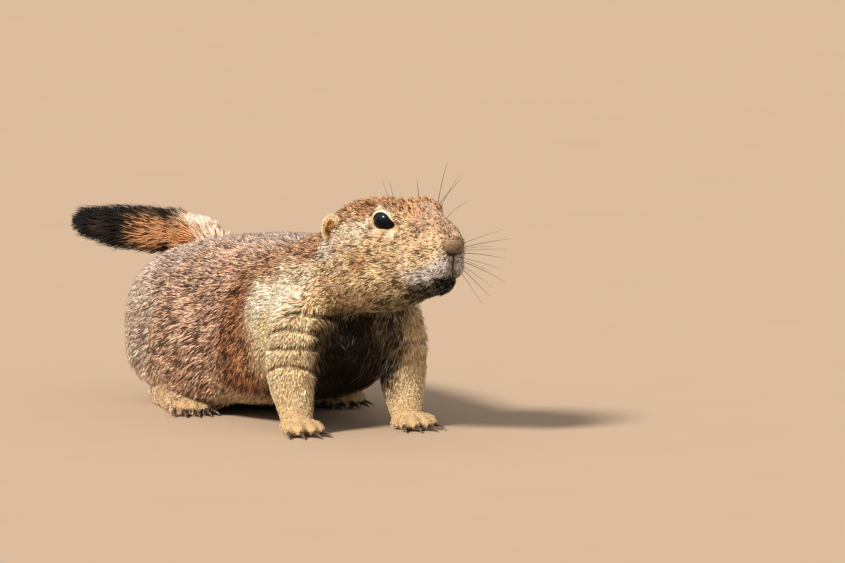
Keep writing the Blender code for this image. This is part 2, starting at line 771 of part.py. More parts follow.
def make_forefoot(side):
    palm = Vector((2 * MM + FOREFOOT_STAGGER[side], 29.4 * MM * SIDES[side], 4.2 * MM))
    heading = math.radians(4) * SIDES[side]
    masses, claws = foot_parts(side, "fore", palm, heading, FORE_TOES, 2.5 * MM, 6.5 * MM)
    at = palm + Vector((-3.5, 0, 0.2)) * MM
    masses.append(ellipsoid("palm", at, Vector((8.5, 8.2, 5.2)) * MM))
    masses.append(foreleg(side))
    thumb = palm + Vector((-4, -7.2 * SIDES[side], -1.2)) * MM
    masses.append(ellipsoid("thumb", thumb, Vector((3.2, 2.3, 2.2)) * MM))
    shank = blended(joined("shank", masses), FOOT_VOXEL, FOOT_PASSES)
    shank = carve(shank, block(Vector((0, 0, WRIST_HEIGHT)), UP))
    return finished_foot(f"forefoot_{side}", [shank], claws, FOREFOOT_FACES, 1.15 * MM)


def hindfoot_loft(side, grow=0.0, **options):
    return loft("sole", on_side(in_metres(HINDFOOT_RINGS), side), grow=grow, **options)


def toe_room(side):
    """The hollow under the haunch that the toes lie in."""
    at = Vector((-94, 40.5 * SIDES[side], 2)) * MM
    return ellipsoid("toe_room", at, Vector((15, 14, 9)) * MM, segments=14)


def make_hindfoot(side):
    palm = Vector((-100 * MM, 39.5 * MM * SIDES[side], 4.2 * MM))
    heading = math.radians(6) * SIDES[side]
    masses, claws = foot_parts(side, "hind", palm, heading, HIND_TOES, 2.5 * MM, 5.5 * MM)
    masses.append(hindfoot_loft(side))
    return finished_foot(f"hindfoot_{side}", masses, claws, HINDFOOT_FACES, 1.1 * MM)


def make_body(skin):
    """Parts the skin behind the head into its nodes."""
    body = carve(skin, head_plane(GAP))
    tail_root, tail_way = Vector((-185, 10.5, 68)) * MM, Vector((-0.78, 0.2, 0.62))
    tail, body = part_off(body, "tail", lambda grow: block(tail_root, tail_way, grow))
    pieces = [carve(fused(tail, tail_locks()), block(tail_root, tail_way), "INTERSECT")]
    for side in SIDES:

        def limb(grow, side=side):
            return foreleg(side, LIMB_CUT + grow, per_span=1, sides=12)

        arm, body = part_off(body, f"upper_arm_{side}", limb)
        elbow = Vector((0, 0, ELBOW_HEIGHT))
        forearm, arm = part_off(arm, f"forearm_{side}", lambda grow: block(elbow, -UP, grow))
        forearm = carve(forearm, block(Vector((0, 0, WRIST_HEIGHT)), -UP, GAP))
        pieces += [arm, forearm]
    neck, body = part_off(body, "neck", neck_plane)
    pieces.append(neck)
    for side in SIDES:

        def hip(grow, side=side):
            return haunch(side, LIMB_CUT + grow, segments=14)

        thigh, body = part_off(body, f"thigh_{side}", hip)
        sole = {"grow": HINDFOOT_CLEARANCE, "per_span": 1, "sides": 12}
        thigh = carve(carve(thigh, hindfoot_loft(side, **sole)), toe_room(side))
        body = carve(carve(body, hindfoot_loft(side, **sole)), toe_room(side))
        pieces.append(thigh)
    loin, waist = Vector((-72, 0, 40)) * MM, Vector((-122, 0, 40)) * MM
    chest, body = part_off(body, "chest", lambda grow: block(loin, FORWARD, grow))
    belly, rump = part_off(body, "belly", lambda grow: block(waist, FORWARD, grow))
    rump.name = "rump"
    return [*pieces, chest, belly, rump]


FUR_OF = {
    "head": "face_fur",
    "neck": "throat_fur",
    "chest": "back_fur",
    "belly": "flank_fur",
    "rump": "flank_fur",
    "tail": "tail_fur",
    "upper_arm": "leg_fur",
    "forearm": "leg_fur",
    "forefoot": "leg_fur",
    "hindfoot": "leg_fur",
    "thigh": "flank_fur",
    "ear": "ear_fur",
    "eye": "eye",
    "nose": "nose_skin",
    "claw": "claw_horn",
}


def finish(pieces):
    """Gives every node its material and collection, and stands the model on the origin."""
    collection = new_collection("prairie_dog")
    low, high = Vector((1, 1, 1)), Vector((-1, -1, -1))
    for piece in pieces:
        for vert in piece.data.vertices:
            low = Vector(map(min, low, vert.co))
            high = Vector(map(max, high, vert.co))
    stand = bpy.data.objects.new("prairie_dog", None)
    stand.location = (-(low.x + high.x) / 2, -(low.y + high.y) / 2, -low.z)
    collection.objects.link(stand)
    for piece in pieces:
        kind = next(kind for kind in FUR_OF if piece.name.startswith(kind))
        piece.data.materials.clear()
        piece.data.materials.append(material(FUR_OF[kind]))
        piece.data.shade_smooth()
        piece.data.set_sharp_from_angle(angle=math.radians(50))
        bpy.context.scene.collection.objects.unlink(piece)
        collection.objects.link(piece)
        piece.parent = stand


def main():
    clear_scene()
    head = make_head(make_skin("fine_skin", HEAD_PASSES, FINE_SKIN_FACES))
    body = make_body(make_skin("plain_skin", BODY_PASSES, PLAIN_SKIN_FACES))
    pieces = [head, make_nose(), *body]
    for side in SIDES:
        pieces += [make_eye(side), make_ear(side, head)]
        pieces += [*make_forefoot(side), *make_hindfoot(side)]
    finish(pieces)


main()
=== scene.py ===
import logging
import math
from dataclasses import dataclass, field
from enum import Enum
from typing import Callable, Sequence

import bpy
import numpy as np
from mathutils import Matrix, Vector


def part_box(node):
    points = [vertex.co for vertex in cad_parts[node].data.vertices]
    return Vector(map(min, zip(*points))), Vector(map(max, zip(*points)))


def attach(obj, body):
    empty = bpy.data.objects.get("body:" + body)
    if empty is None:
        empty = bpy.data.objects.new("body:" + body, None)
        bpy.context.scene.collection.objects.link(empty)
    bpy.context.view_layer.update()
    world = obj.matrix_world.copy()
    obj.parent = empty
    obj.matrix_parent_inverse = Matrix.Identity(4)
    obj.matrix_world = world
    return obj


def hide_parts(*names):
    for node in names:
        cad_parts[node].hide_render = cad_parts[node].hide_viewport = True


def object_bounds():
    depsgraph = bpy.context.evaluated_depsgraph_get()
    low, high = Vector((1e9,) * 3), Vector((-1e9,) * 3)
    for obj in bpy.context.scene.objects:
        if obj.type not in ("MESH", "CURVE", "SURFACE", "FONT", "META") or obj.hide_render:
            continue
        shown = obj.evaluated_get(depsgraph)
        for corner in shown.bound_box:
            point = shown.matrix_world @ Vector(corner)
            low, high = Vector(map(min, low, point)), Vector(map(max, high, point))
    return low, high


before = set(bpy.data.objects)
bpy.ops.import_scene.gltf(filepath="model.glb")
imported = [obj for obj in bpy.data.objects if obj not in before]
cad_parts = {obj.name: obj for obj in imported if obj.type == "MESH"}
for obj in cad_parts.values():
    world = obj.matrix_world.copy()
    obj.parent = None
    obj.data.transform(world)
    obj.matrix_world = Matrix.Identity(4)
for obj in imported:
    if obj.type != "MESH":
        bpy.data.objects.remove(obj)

CAD_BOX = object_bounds()
CAD_TOP = float(CAD_BOX[1][2])
LOG = logging.getLogger("prairie_dog")
MM = 0.001
UP = np.array((0.0, 0.0, 1.0))
SIDES = {"right": -1.0, "left": 1.0}
# How far left of the frame's middle the chest's own middle lies, in mm.
CHEST_LEFT = -2.9
GROWN = 1.0


def linear(code: str) -> np.ndarray:
    """Turn an sRGB hex colour into linear light.

    Args:
        code: six hexadecimal digits.

    Returns:
        Three linear values: c / 12.92 below 0.04045, and ((c + 0.055) / 1.055) ** 2.4 above it.
    """
    srgb = np.array([int(code[i:i + 2], 16) for i in (0, 2, 4)]) / 255.0
    return np.where(srgb <= 0.04045, srgb / 12.92, ((srgb + 0.055) / 1.055) ** 2.4)


def unit(vectors: np.ndarray) -> np.ndarray:
    """Return vectors scaled to length one."""
    return vectors / np.maximum(np.linalg.norm(vectors, axis=-1, keepdims=True), 1e-12)


def smoothstep(low: float, high: float, value: np.ndarray) -> np.ndarray:
    """Return 0 below low, 1 above high and the cubic 3t^2 - 2t^3 between them."""
    t = np.clip((value - low) / (high - low), 0.0, 1.0)
    return t * t * (3.0 - 2.0 * t)


def ripple(points: np.ndarray, scale: float, seed: int) -> np.ndarray:
    """Give a smooth field of about -1 to 1: the mean of five sines along seeded directions.

    Args:
        points: places in metres, one a row.
        scale: typical distance from crest to trough, in metres.
        seed: picks the directions and phases.

    Returns:
        One value a point.
    """
    draw = np.random.default_rng(seed)
    waves = unit(draw.normal(size=(5, 3))) * (math.pi / scale) * draw.uniform(0.6, 1.5, (5, 1))
    return np.sin(points @ waves.T + draw.uniform(0, 2 * math.pi, 5)).mean(axis=1) * 1.6


def path_distance(points: np.ndarray, path: np.ndarray) -> np.ndarray:
    """Measure each point's distance to a chain of straight spans, as the least over the spans."""
    nearest = np.full(len(points), np.inf)
    for start, end in zip(path[:-1], path[1:]):
        span = end - start
        share = np.clip((points - start) @ span / (span @ span), 0.0, 1.0)
        away = np.linalg.norm(points - start - share[:, None] * span, axis=1)
        nearest = np.minimum(nearest, away)
    return nearest


def read_between(share: np.ndarray, knots: np.ndarray, rows: np.ndarray) -> np.ndarray:
    """Read rows of three numbers, listed at knots, at any shares between them."""
    return np.stack([np.interp(share, knots, rows[:, axis]) for axis in range(3)], axis=-1)


def corners(points: np.ndarray, triangles: np.ndarray) -> tuple:
    """Return the three corners of each triangle as arrays of points."""
    return tuple(points[triangles[:, i]] for i in range(3))


def edges(triangles: np.ndarray) -> np.ndarray:
    """List each triangle's three edges as pairs of indices, the way round of the triangle."""
    return np.concatenate((triangles[:, (0, 1)], triangles[:, (1, 2)], triangles[:, (2, 0)]))


def grid_triangles(rows: int, columns: int, ring: bool) -> np.ndarray:
    """List the triangles of a grid of rows times columns of points.

    Args:
        rows: points down the grid.
        columns: points across it.
        ring: whether the last column joins the first.

    Returns:
        Two triangles for each cell, as indices into the points in row order.
    """
    row, column = np.meshgrid(np.arange(rows - 1), np.arange(columns if ring else columns - 1), indexing="ij")
    here, beside = row * columns + column, row * columns + (column + 1) % columns
    below, across = here + columns, beside + columns
    cells = np.stack((here, beside, across, here, across, below), axis=-1)
    return cells.reshape(-1, 3)


@dataclass
class Shell:
    """A closed surface as arrays, which several shells can be joined into.

    points are in metres, triangles are indices, and colours are linear, one a point. uv is one pair a point,
    or nothing.
    """

    points: np.ndarray
    triangles: np.ndarray
    colours: np.ndarray
    uv: np.ndarray | None = None

    @staticmethod
    def joined(shells: Sequence["Shell"]) -> "Shell":
        """Put several shells into one, with each one's indices moved past the last one's points."""
        starts = np.cumsum([0] + [len(shell.points) for shell in shells[:-1]])
        triangles = np.concatenate([shell.triangles + start for shell, start in zip(shells, starts)])
        uv = None if shells[0].uv is None else np.concatenate([shell.uv for shell in shells])
        return Shell(
            np.concatenate([shell.points for shell in shells]),
            triangles,
            np.concatenate([shell.colours for shell in shells]),
            uv,
        )

    def piece(self, name: str, material: bpy.types.Material, slot: str) -> bpy.types.Object:
        """Make the piece, colour it, and let it ride on the body.

        Args:
            name: the piece's name.
            material: its material, which reads the colours as the attribute "pelt".
            slot: the record's material slot, which is not used.

        Returns:
            The new object, at the origin.
        """
        mesh = bpy.data.meshes.new(name)
        mesh.vertices.add(len(self.points))
        mesh.vertices.foreach_set("co", self.points.astype(np.float32).ravel())
        mesh.loops.add(self.triangles.size)
        mesh.loops.foreach_set("vertex_index", self.triangles.astype(np.int32).ravel())
        mesh.polygons.add(len(self.triangles))
        mesh.polygons.foreach_set("loop_start", np.arange(0, self.triangles.size, 3, dtype=np.int32))
        mesh.update(calc_edges=True)
        mesh.polygons.foreach_set("use_smooth", np.ones(len(self.triangles), dtype=bool))
        pelt = mesh.color_attributes.new(name="pelt", type="FLOAT_COLOR", domain="POINT")
        rgba = np.ones((len(self.points), 4), dtype=np.float32)
        rgba[:, :3] = np.clip(self.colours, 0.0, 1.0)
        pelt.data.foreach_set("color", rgba.ravel())
        if self.uv is not None:
            layer = mesh.uv_layers.new(name="OFBake")
            layer.data.foreach_set("uv", self.uv[self.triangles.ravel()].astype(np.float32).ravel())
        mesh.materials.append(material)
        piece = bpy.data.objects.new(name, mesh)
        bpy.context.scene.collection.objects.link(piece)
        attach(piece, "root")
        LOG.info("%s: %d points, %d triangles", name, len(self.points), len(self.triangles))
        return piece


@dataclass
class Surface:
    """A surface that hair grows on: its points, the triangles with hair, and the way each point faces."""

    points: np.ndarray
    triangles: np.ndarray
    normals: np.ndarray


def carried_profile(
    path: np.ndarray, radii: np.ndarray, sides: int, flat: float, colours: np.ndarray
) -> Shell:
    """Carry a round profile along a path and close both ends at a pole.

    At each place on the path the ring is centre + radius * (across * cos a + flat * over * sin a), where
    across lies level and square to the path and over is square to both.

    Args:
        path: centres, one a row.
        radii: one a centre.
        sides: points in a ring.
        flat: the profile's height as a share of its width.
        colours: one a centre.

    Returns:
        The closed shell.
    """
    along = unit(np.gradient(path, axis=0))
    hint = UP if abs(along[0] @ UP) < 0.9 else np.array((1.0, 0.0, 0.0))
    across = unit(np.cross(hint, along))
    over = np.cross(along, across)
    angle = np.linspace(0, 2 * math.pi, sides, endpoint=False)
    ring = across[:, None] * np.cos(angle)[:, None] + flat * over[:, None] * np.sin(angle)[:, None]
    points = (path[:, None] + radii[:, None, None] * ring).reshape(-1, 3)
    points = np.concatenate((points, path[:1], path[-1:]))
    count = len(path) * sides
    first, last = np.arange(sides), count - sides + np.arange(sides)
    start = np.stack((np.full(sides, count), np.roll(first, -1), first), axis=1)
    end = np.stack((np.full(sides, count + 1), last, np.roll(last, -1)), axis=1)
    triangles = np.concatenate((grid_triangles(len(path), sides, ring=True), start, end))
    tints = np.concatenate((np.repeat(colours, sides, axis=0), colours[:1], colours[-1:]))
    return Shell(points, triangles, tints)


def globe(centre: np.ndarray, axes: np.ndarray, reach: np.ndarray, rows: int, columns: int) -> tuple:
    """Lay a grid of directions round a centre, with a pole at each end of the first axis.

    Args:
        centre: the middle, in metres.
        axes: three unit rows, the first one through the poles.
        reach: the three radii in metres.
        rows: rings between the poles.
        columns: points in a ring.

    Returns:
        The points, the triangles, and the unit directions in the axes' own terms.
    """
    polar = np.linspace(0, math.pi, rows + 2)[1:-1]
    turn = np.linspace(0, 2 * math.pi, columns, endpoint=False)
    polar, turn = np.meshgrid(polar, turn, indexing="ij")
    ways = np.stack((np.cos(polar), np.sin(polar) * np.cos(turn), np.sin(polar) * np.sin(turn)), axis=-1)
    ways = np.concatenate((ways.reshape(-1, 3), ((1.0, 0.0, 0.0), (-1.0, 0.0, 0.0))))
    count = rows * columns
    first, last = np.arange(columns), count - columns + np.arange(columns)
    grid = grid_triangles(rows, columns, ring=True)[:, ::-1]
    near = np.stack((np.full(columns, count), first, np.roll(first, -1)), axis=1)
    far = np.stack((np.full(columns, count + 1), np.roll(last, -1), last), axis=1)
    triangles = np.concatenate((grid, near, far))
    return centre + (ways * reach) @ axes, triangles, ways


def add_node(
    tree: bpy.types.NodeTree, kind: str, feeds: dict | None = None, **settings: object
) -> bpy.types.Node:
    """Add a node with its settings and links.

    Args:
        tree: the material's node tree.
        kind: the node's type.
        feeds: for each input's name or number, an output socket to link or a value to set.
        settings: the node's own properties.

    Returns:
        The new node.
    """
    node = tree.nodes.new(kind)
    for name, value in settings.items():
        setattr(node, name, value)
    for key, value in (feeds or {}).items():
        if isinstance(value, bpy.types.NodeSocket):
            tree.links.new(value, node.inputs[key])
        else:
            node.inputs[key].default_value = value
    return node


@dataclass(frozen=True)
class Finish:
    """A finish whose colour comes from the piece's own colours, broken up by a fine noise.

    name is the real material, how it was made. grain is the size of the noise in mm, contrast how far it
    lightens and darkens, relief the depth of its bump in mm.
    """

    name: str
    roughness: float
    specular: float
    grain: float
    contrast: float
    relief: float = 0.0
    sheen: float = 0.0
    ior: float = 1.5

    def material(self) -> bpy.types.Material:
        """Build the material: attribute colour times noise, with the noise as bump where it has relief.

        Returns:
            The material.
        """
        made = bpy.data.materials.new(self.name)
        made.use_nodes = True
        tree = made.node_tree
        tree.nodes.clear()
        pelt = add_node(tree, "ShaderNodeAttribute", attribute_name="pelt")
        place = add_node(tree, "ShaderNodeTexCoord")
        noise = add_node(tree, "ShaderNodeTexNoise", {
            "Vector": place.outputs["Object"], "Scale": 1.0 / (self.grain * MM),
            "Detail": 3.0, "Roughness": 0.6,
        })
        # Most of the noise lies between 0.3 and 0.7, which is spread over the whole contrast.
        band = add_node(tree, "ShaderNodeMapRange", {
            0: noise.outputs[0], 1: 0.3, 2: 0.7, 3: 1.0 - self.contrast, 4: 1.0 + self.contrast,
        })
        shade = add_node(tree, "ShaderNodeVectorMath", {0: pelt.outputs["Color"], "Scale": band.outputs[0]},
                         operation="SCALE")
        shader = add_node(tree, "ShaderNodeBsdfPrincipled", {
            "Base Color": shade.outputs["Vector"], "Roughness": self.roughness, "IOR": self.ior,
            "Specular IOR Level": self.specular, "Sheen Weight": self.sheen,
        })
        if self.relief:
            depth = self.relief * MM
            bump = add_node(tree, "ShaderNodeBump", {"Height": noise.outputs[0], "Distance": depth})
            tree.links.new(bump.outputs[0], shader.inputs["Normal"])
        add_node(tree, "ShaderNodeOutputMaterial", {"Surface": shader.outputs[0]})
        return made


# Guard hair is keratin laid flat in tufts: it gives the eye a soft broken gleam along each tuft.
HAIR = Finish("guard_hair_keratin", roughness=0.6, specular=0.14, grain=2.4, contrast=0.12, sheen=0.02)
# Skin seen between the tufts is matt with a close underfur, drawn 0.5 mm coarse so that it shows.
SKIN = Finish("underfur_on_skin", roughness=0.9, specular=0.15, grain=0.5, contrast=0.35, relief=0.25)
# The wet cornea over a near-black iris mirrors the lights sharply, with no texture of its own.
CORNEA = Finish("wet_cornea", roughness=0.08, specular=0.22, grain=1.5, contrast=0.25, ior=1.36)
# Bare nose leather is finely pebbled, about 0.25 mm a pebble, and dull where it is dry.
NOSE_LEATHER = Finish(
    "napped_nose_leather", roughness=0.62, specular=0.3, grain=0.5, contrast=0.16, relief=0.14
)
# The lid's edge is thin moist skin, a little glossier than the coat beside it.
LID_SKIN = Finish("moist_lid_skin", roughness=0.5, specular=0.4, grain=0.6, contrast=0.15, relief=0.06)
# Ear skin is thin and matt, with veins and fine down drawn by a 0.7 mm mottling.
EAR_SKIN = Finish("thin_ear_skin", roughness=0.75, specular=0.2, grain=0.7, contrast=0.2, relief=0.08)
# Claw horn is grown in layers and worn by digging: satin, streaked, lighter at the worn tip.
HORN = Finish("dug_claw_horn", roughness=0.34, specular=0.5, grain=0.8, contrast=0.3, relief=0.05)
# A whisker is one stiff black hair with a gloss along it.
WHISKER = Finish("stiff_whisker_hair", roughness=0.35, specular=0.5, grain=3.0, contrast=0.1)


class Pelt(Enum):
    """The coat's kinds of hair: underfur, shaft, pale tip, dark tip in sRGB, and the share of dark tips. The
    near-black chest and the throat's and arm's shade kinds are painted shade rather than hair colours.
    """

    CROWN = ("46301F", "CE8A58", "F8D4A6", "2C1C14", 0.5)
    BRIDGE = ("5C483A", "BE9474", "ECD2B6", "48362C", 0.32)
    GOLD = ("66492C", "ECC48C", "FFEED4", "4E3522", 0.28)
    CREAM = ("7D6444", "F8E2BE", "FFF8EC", "7E6242", 0.16)
    TAWNY = ("4E3624", "BE8A56", "E8C694", "4A2E1C", 0.44)
    EYE_RING = ("D8C090", "FCF2D8", "FFFEF4", "E4CCA0", 0.03)
    LIP = ("85786C", "E2D8CE", "FFFDFA", "2C2420", 0.34)
    JAW = ("40301F", "AC8E64", "EAD4AE", "3A2A1C", 0.38)
    CHIN = ("0A0807", "201914", "A8A294", "080605", 0.7)
    EAR_BASE = ("6E5E4C", "F2E2CC", "FFF8EC", "46382C", 0.26)
    HACKLE = ("36221D", "C1845C", "F7D6AF", "2C1A14", 0.40)
    THROAT = ("866636", "F0CA8E", "FFF2D8", "6A4C26", 0.18)
    THROAT_SHADE = ("2C241B", "8B7957", "D6CEAC", "241C16", 0.42)
    SHOULDER = ("D6BA84", "FFF0CC", "FFFDF6", "B08C58", 0.07)
    FLANK = ("4E3A30", "E0B092", "FFE8D0", "3A2A20", 0.32)
    RED_FLANK = ("38241A", "A86E4A", "E6B88E", "26170F", 0.4)
    BACK = ("7A6453", "C0A694", "ECDCD0", "6A5548", 0.28)
    RUMP = ("8A7464", "EED4C2", "FFF2E8", "7C6656", 0.22)
    BELLY = ("64523B", "DCC09A", "F8E8CE", "6E5438", 0.2)
    # Painted shade: the chest between the forelegs, in shadow under the head, is coloured near black.
    CHEST_SHADE = ("040303", "0A0706", "1E1815", "050403", 0.6)
    STRAND = ("3C342E", "94887A", "C8BCAC", "4A4038", 0.25)
    LEG = ("C49E62", "FFE4B2", "FFF6E2", "94703C", 0.08)
    ARM_SHADE = ("1A140E", "54463A", "D0C4AE", "120D0A", 0.5)
    FOOT = ("8E7048", "F0D0A0", "FFF0DA", "7A5E38", 0.12)
    TAIL_ORANGE = ("7E441C", "BE7A42", "DCB084", "4A2A1C", 0.16)
    TAIL_CREAM = ("C49A6A", "ECD0B0", "F9ECE4", "CFA476", 0.08)
    TAIL_BLACK = ("050404", "0A0706", "1C1714", "050404", 0.4)
    NOSE_NAP = ("6E5A48", "A08668", "CBB494", "4E3C2E", 0.24)
    EAR_INSIDE = ("805429", "E4AF6B", "FCD9A0", "5A3418", 0.22)
    EAR_RIM = ("9A784A", "EED2A0", "FFF4D8", "A07C4C", 0.12)

    def colours(self) -> np.ndarray:
        """Return the four colours as linear rows: underfur, shaft, pale tip, dark tip."""
        return np.stack([linear(code) for code in self.value[:4]])


@dataclass(frozen=True)
class HeadFrame:
    """Measures on the turned head: millimetres behind the nose, to a side, and up.

    tip is the nose's tip in metres, forward and left are level unit vectors.
    """

    tip: np.ndarray
    forward: np.ndarray
    left: np.ndarray

    @classmethod
    def read(cls, eye_back: float = 29.9, eye_up: float = 8.5) -> "HeadFrame":
        """Find the head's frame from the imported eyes.

        Args:
            eye_back: how far the eyes' centres lie behind the nose, in mm.
            eye_up: and how far above it.

        Returns:
            The frame.
        """
        right, left = (centre_of(f"eye_{side}") for side in ("right", "left"))
        across = unit((left - right) * (1.0, 1.0, 0.0))
        ahead = np.array((across[1], -across[0], 0.0))
        return cls((left + right) / 2 + ahead * eye_back * MM - UP * eye_up * MM, ahead, across)

    def at(self, rows: Sequence, side: float = 1.0) -> np.ndarray:
        """Turn rows of (behind, aside, up) in mm into places in metres, aside counted towards the side."""
        return self.tip + self.turn(rows, side) * MM

    def turn(self, rows: Sequence, side: float = 1.0) -> np.ndarray:
        """Turn rows of directions (behind, aside, up) into the shared frame."""
        rows = np.asarray(rows, dtype=float)
        return -rows[..., :1] * self.forward + rows[..., 1:2] * side * self.left + rows[..., 2:3] * UP

    def axes(self) -> np.ndarray:
        """Return the ways ahead, left and up as rows."""
        return np.stack((self.forward, self.left, UP))

    def measure(self, points: np.ndarray) -> np.ndarray:
        """Turn places in metres into rows of (behind, to the left, up) in mm."""
        away = (points - self.tip) / MM
        return np.stack((-away @ self.forward, away @ self.left, away @ UP), axis=-1)


def centre_of(node: str) -> np.ndarray:
    """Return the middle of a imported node's box."""
    low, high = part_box(node)
    return (np.array(low) + np.array(high)) / 2


@dataclass(frozen=True)
class Tract:
    """A place on the body with its kind of hair.

    place and lie are (behind, aside, up) on the head, and (forward, aside, up) on the body. length and
    height are how long a tuft is and how far its tip stands off the skin, width how broad it is, all in mm.
    reach is how far the tract's sway goes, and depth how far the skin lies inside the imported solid, in mm, or
    nothing where that is the height. A tract away from the middle grows on both sides, or on the left only.
    """

    place: tuple
    lie: tuple
    pelt: Pelt
    length: float
    height: float
    width: float = 0.46
    reach: float = 12.0
    depth: float | None = None
    left_only: bool = False

    def inset(self) -> float:
        """Return how far inside the solid the skin lies here, in mm."""
        return min(self.height, 2.3) if self.depth is None else self.depth

    def row(self, lie: np.ndarray) -> np.ndarray:
        """Return the tract's row of the pelage's table, with the given lie."""
        return np.concatenate((
            unit(lie), self.pelt.colours().ravel(), (self.pelt.value[4],),
            (self.length, self.height, self.width), (self.inset(),),
        ))


def plain_hair(pelt: Pelt, length: float, height: float, width: float, count: int) -> np.ndarray:
    """Return rows of the pelage's table for one kind of hair, its sizes in mm and its lie still to be set."""
    return np.tile(Tract((), (), pelt, length, height, width).row(UP), (count, 1))


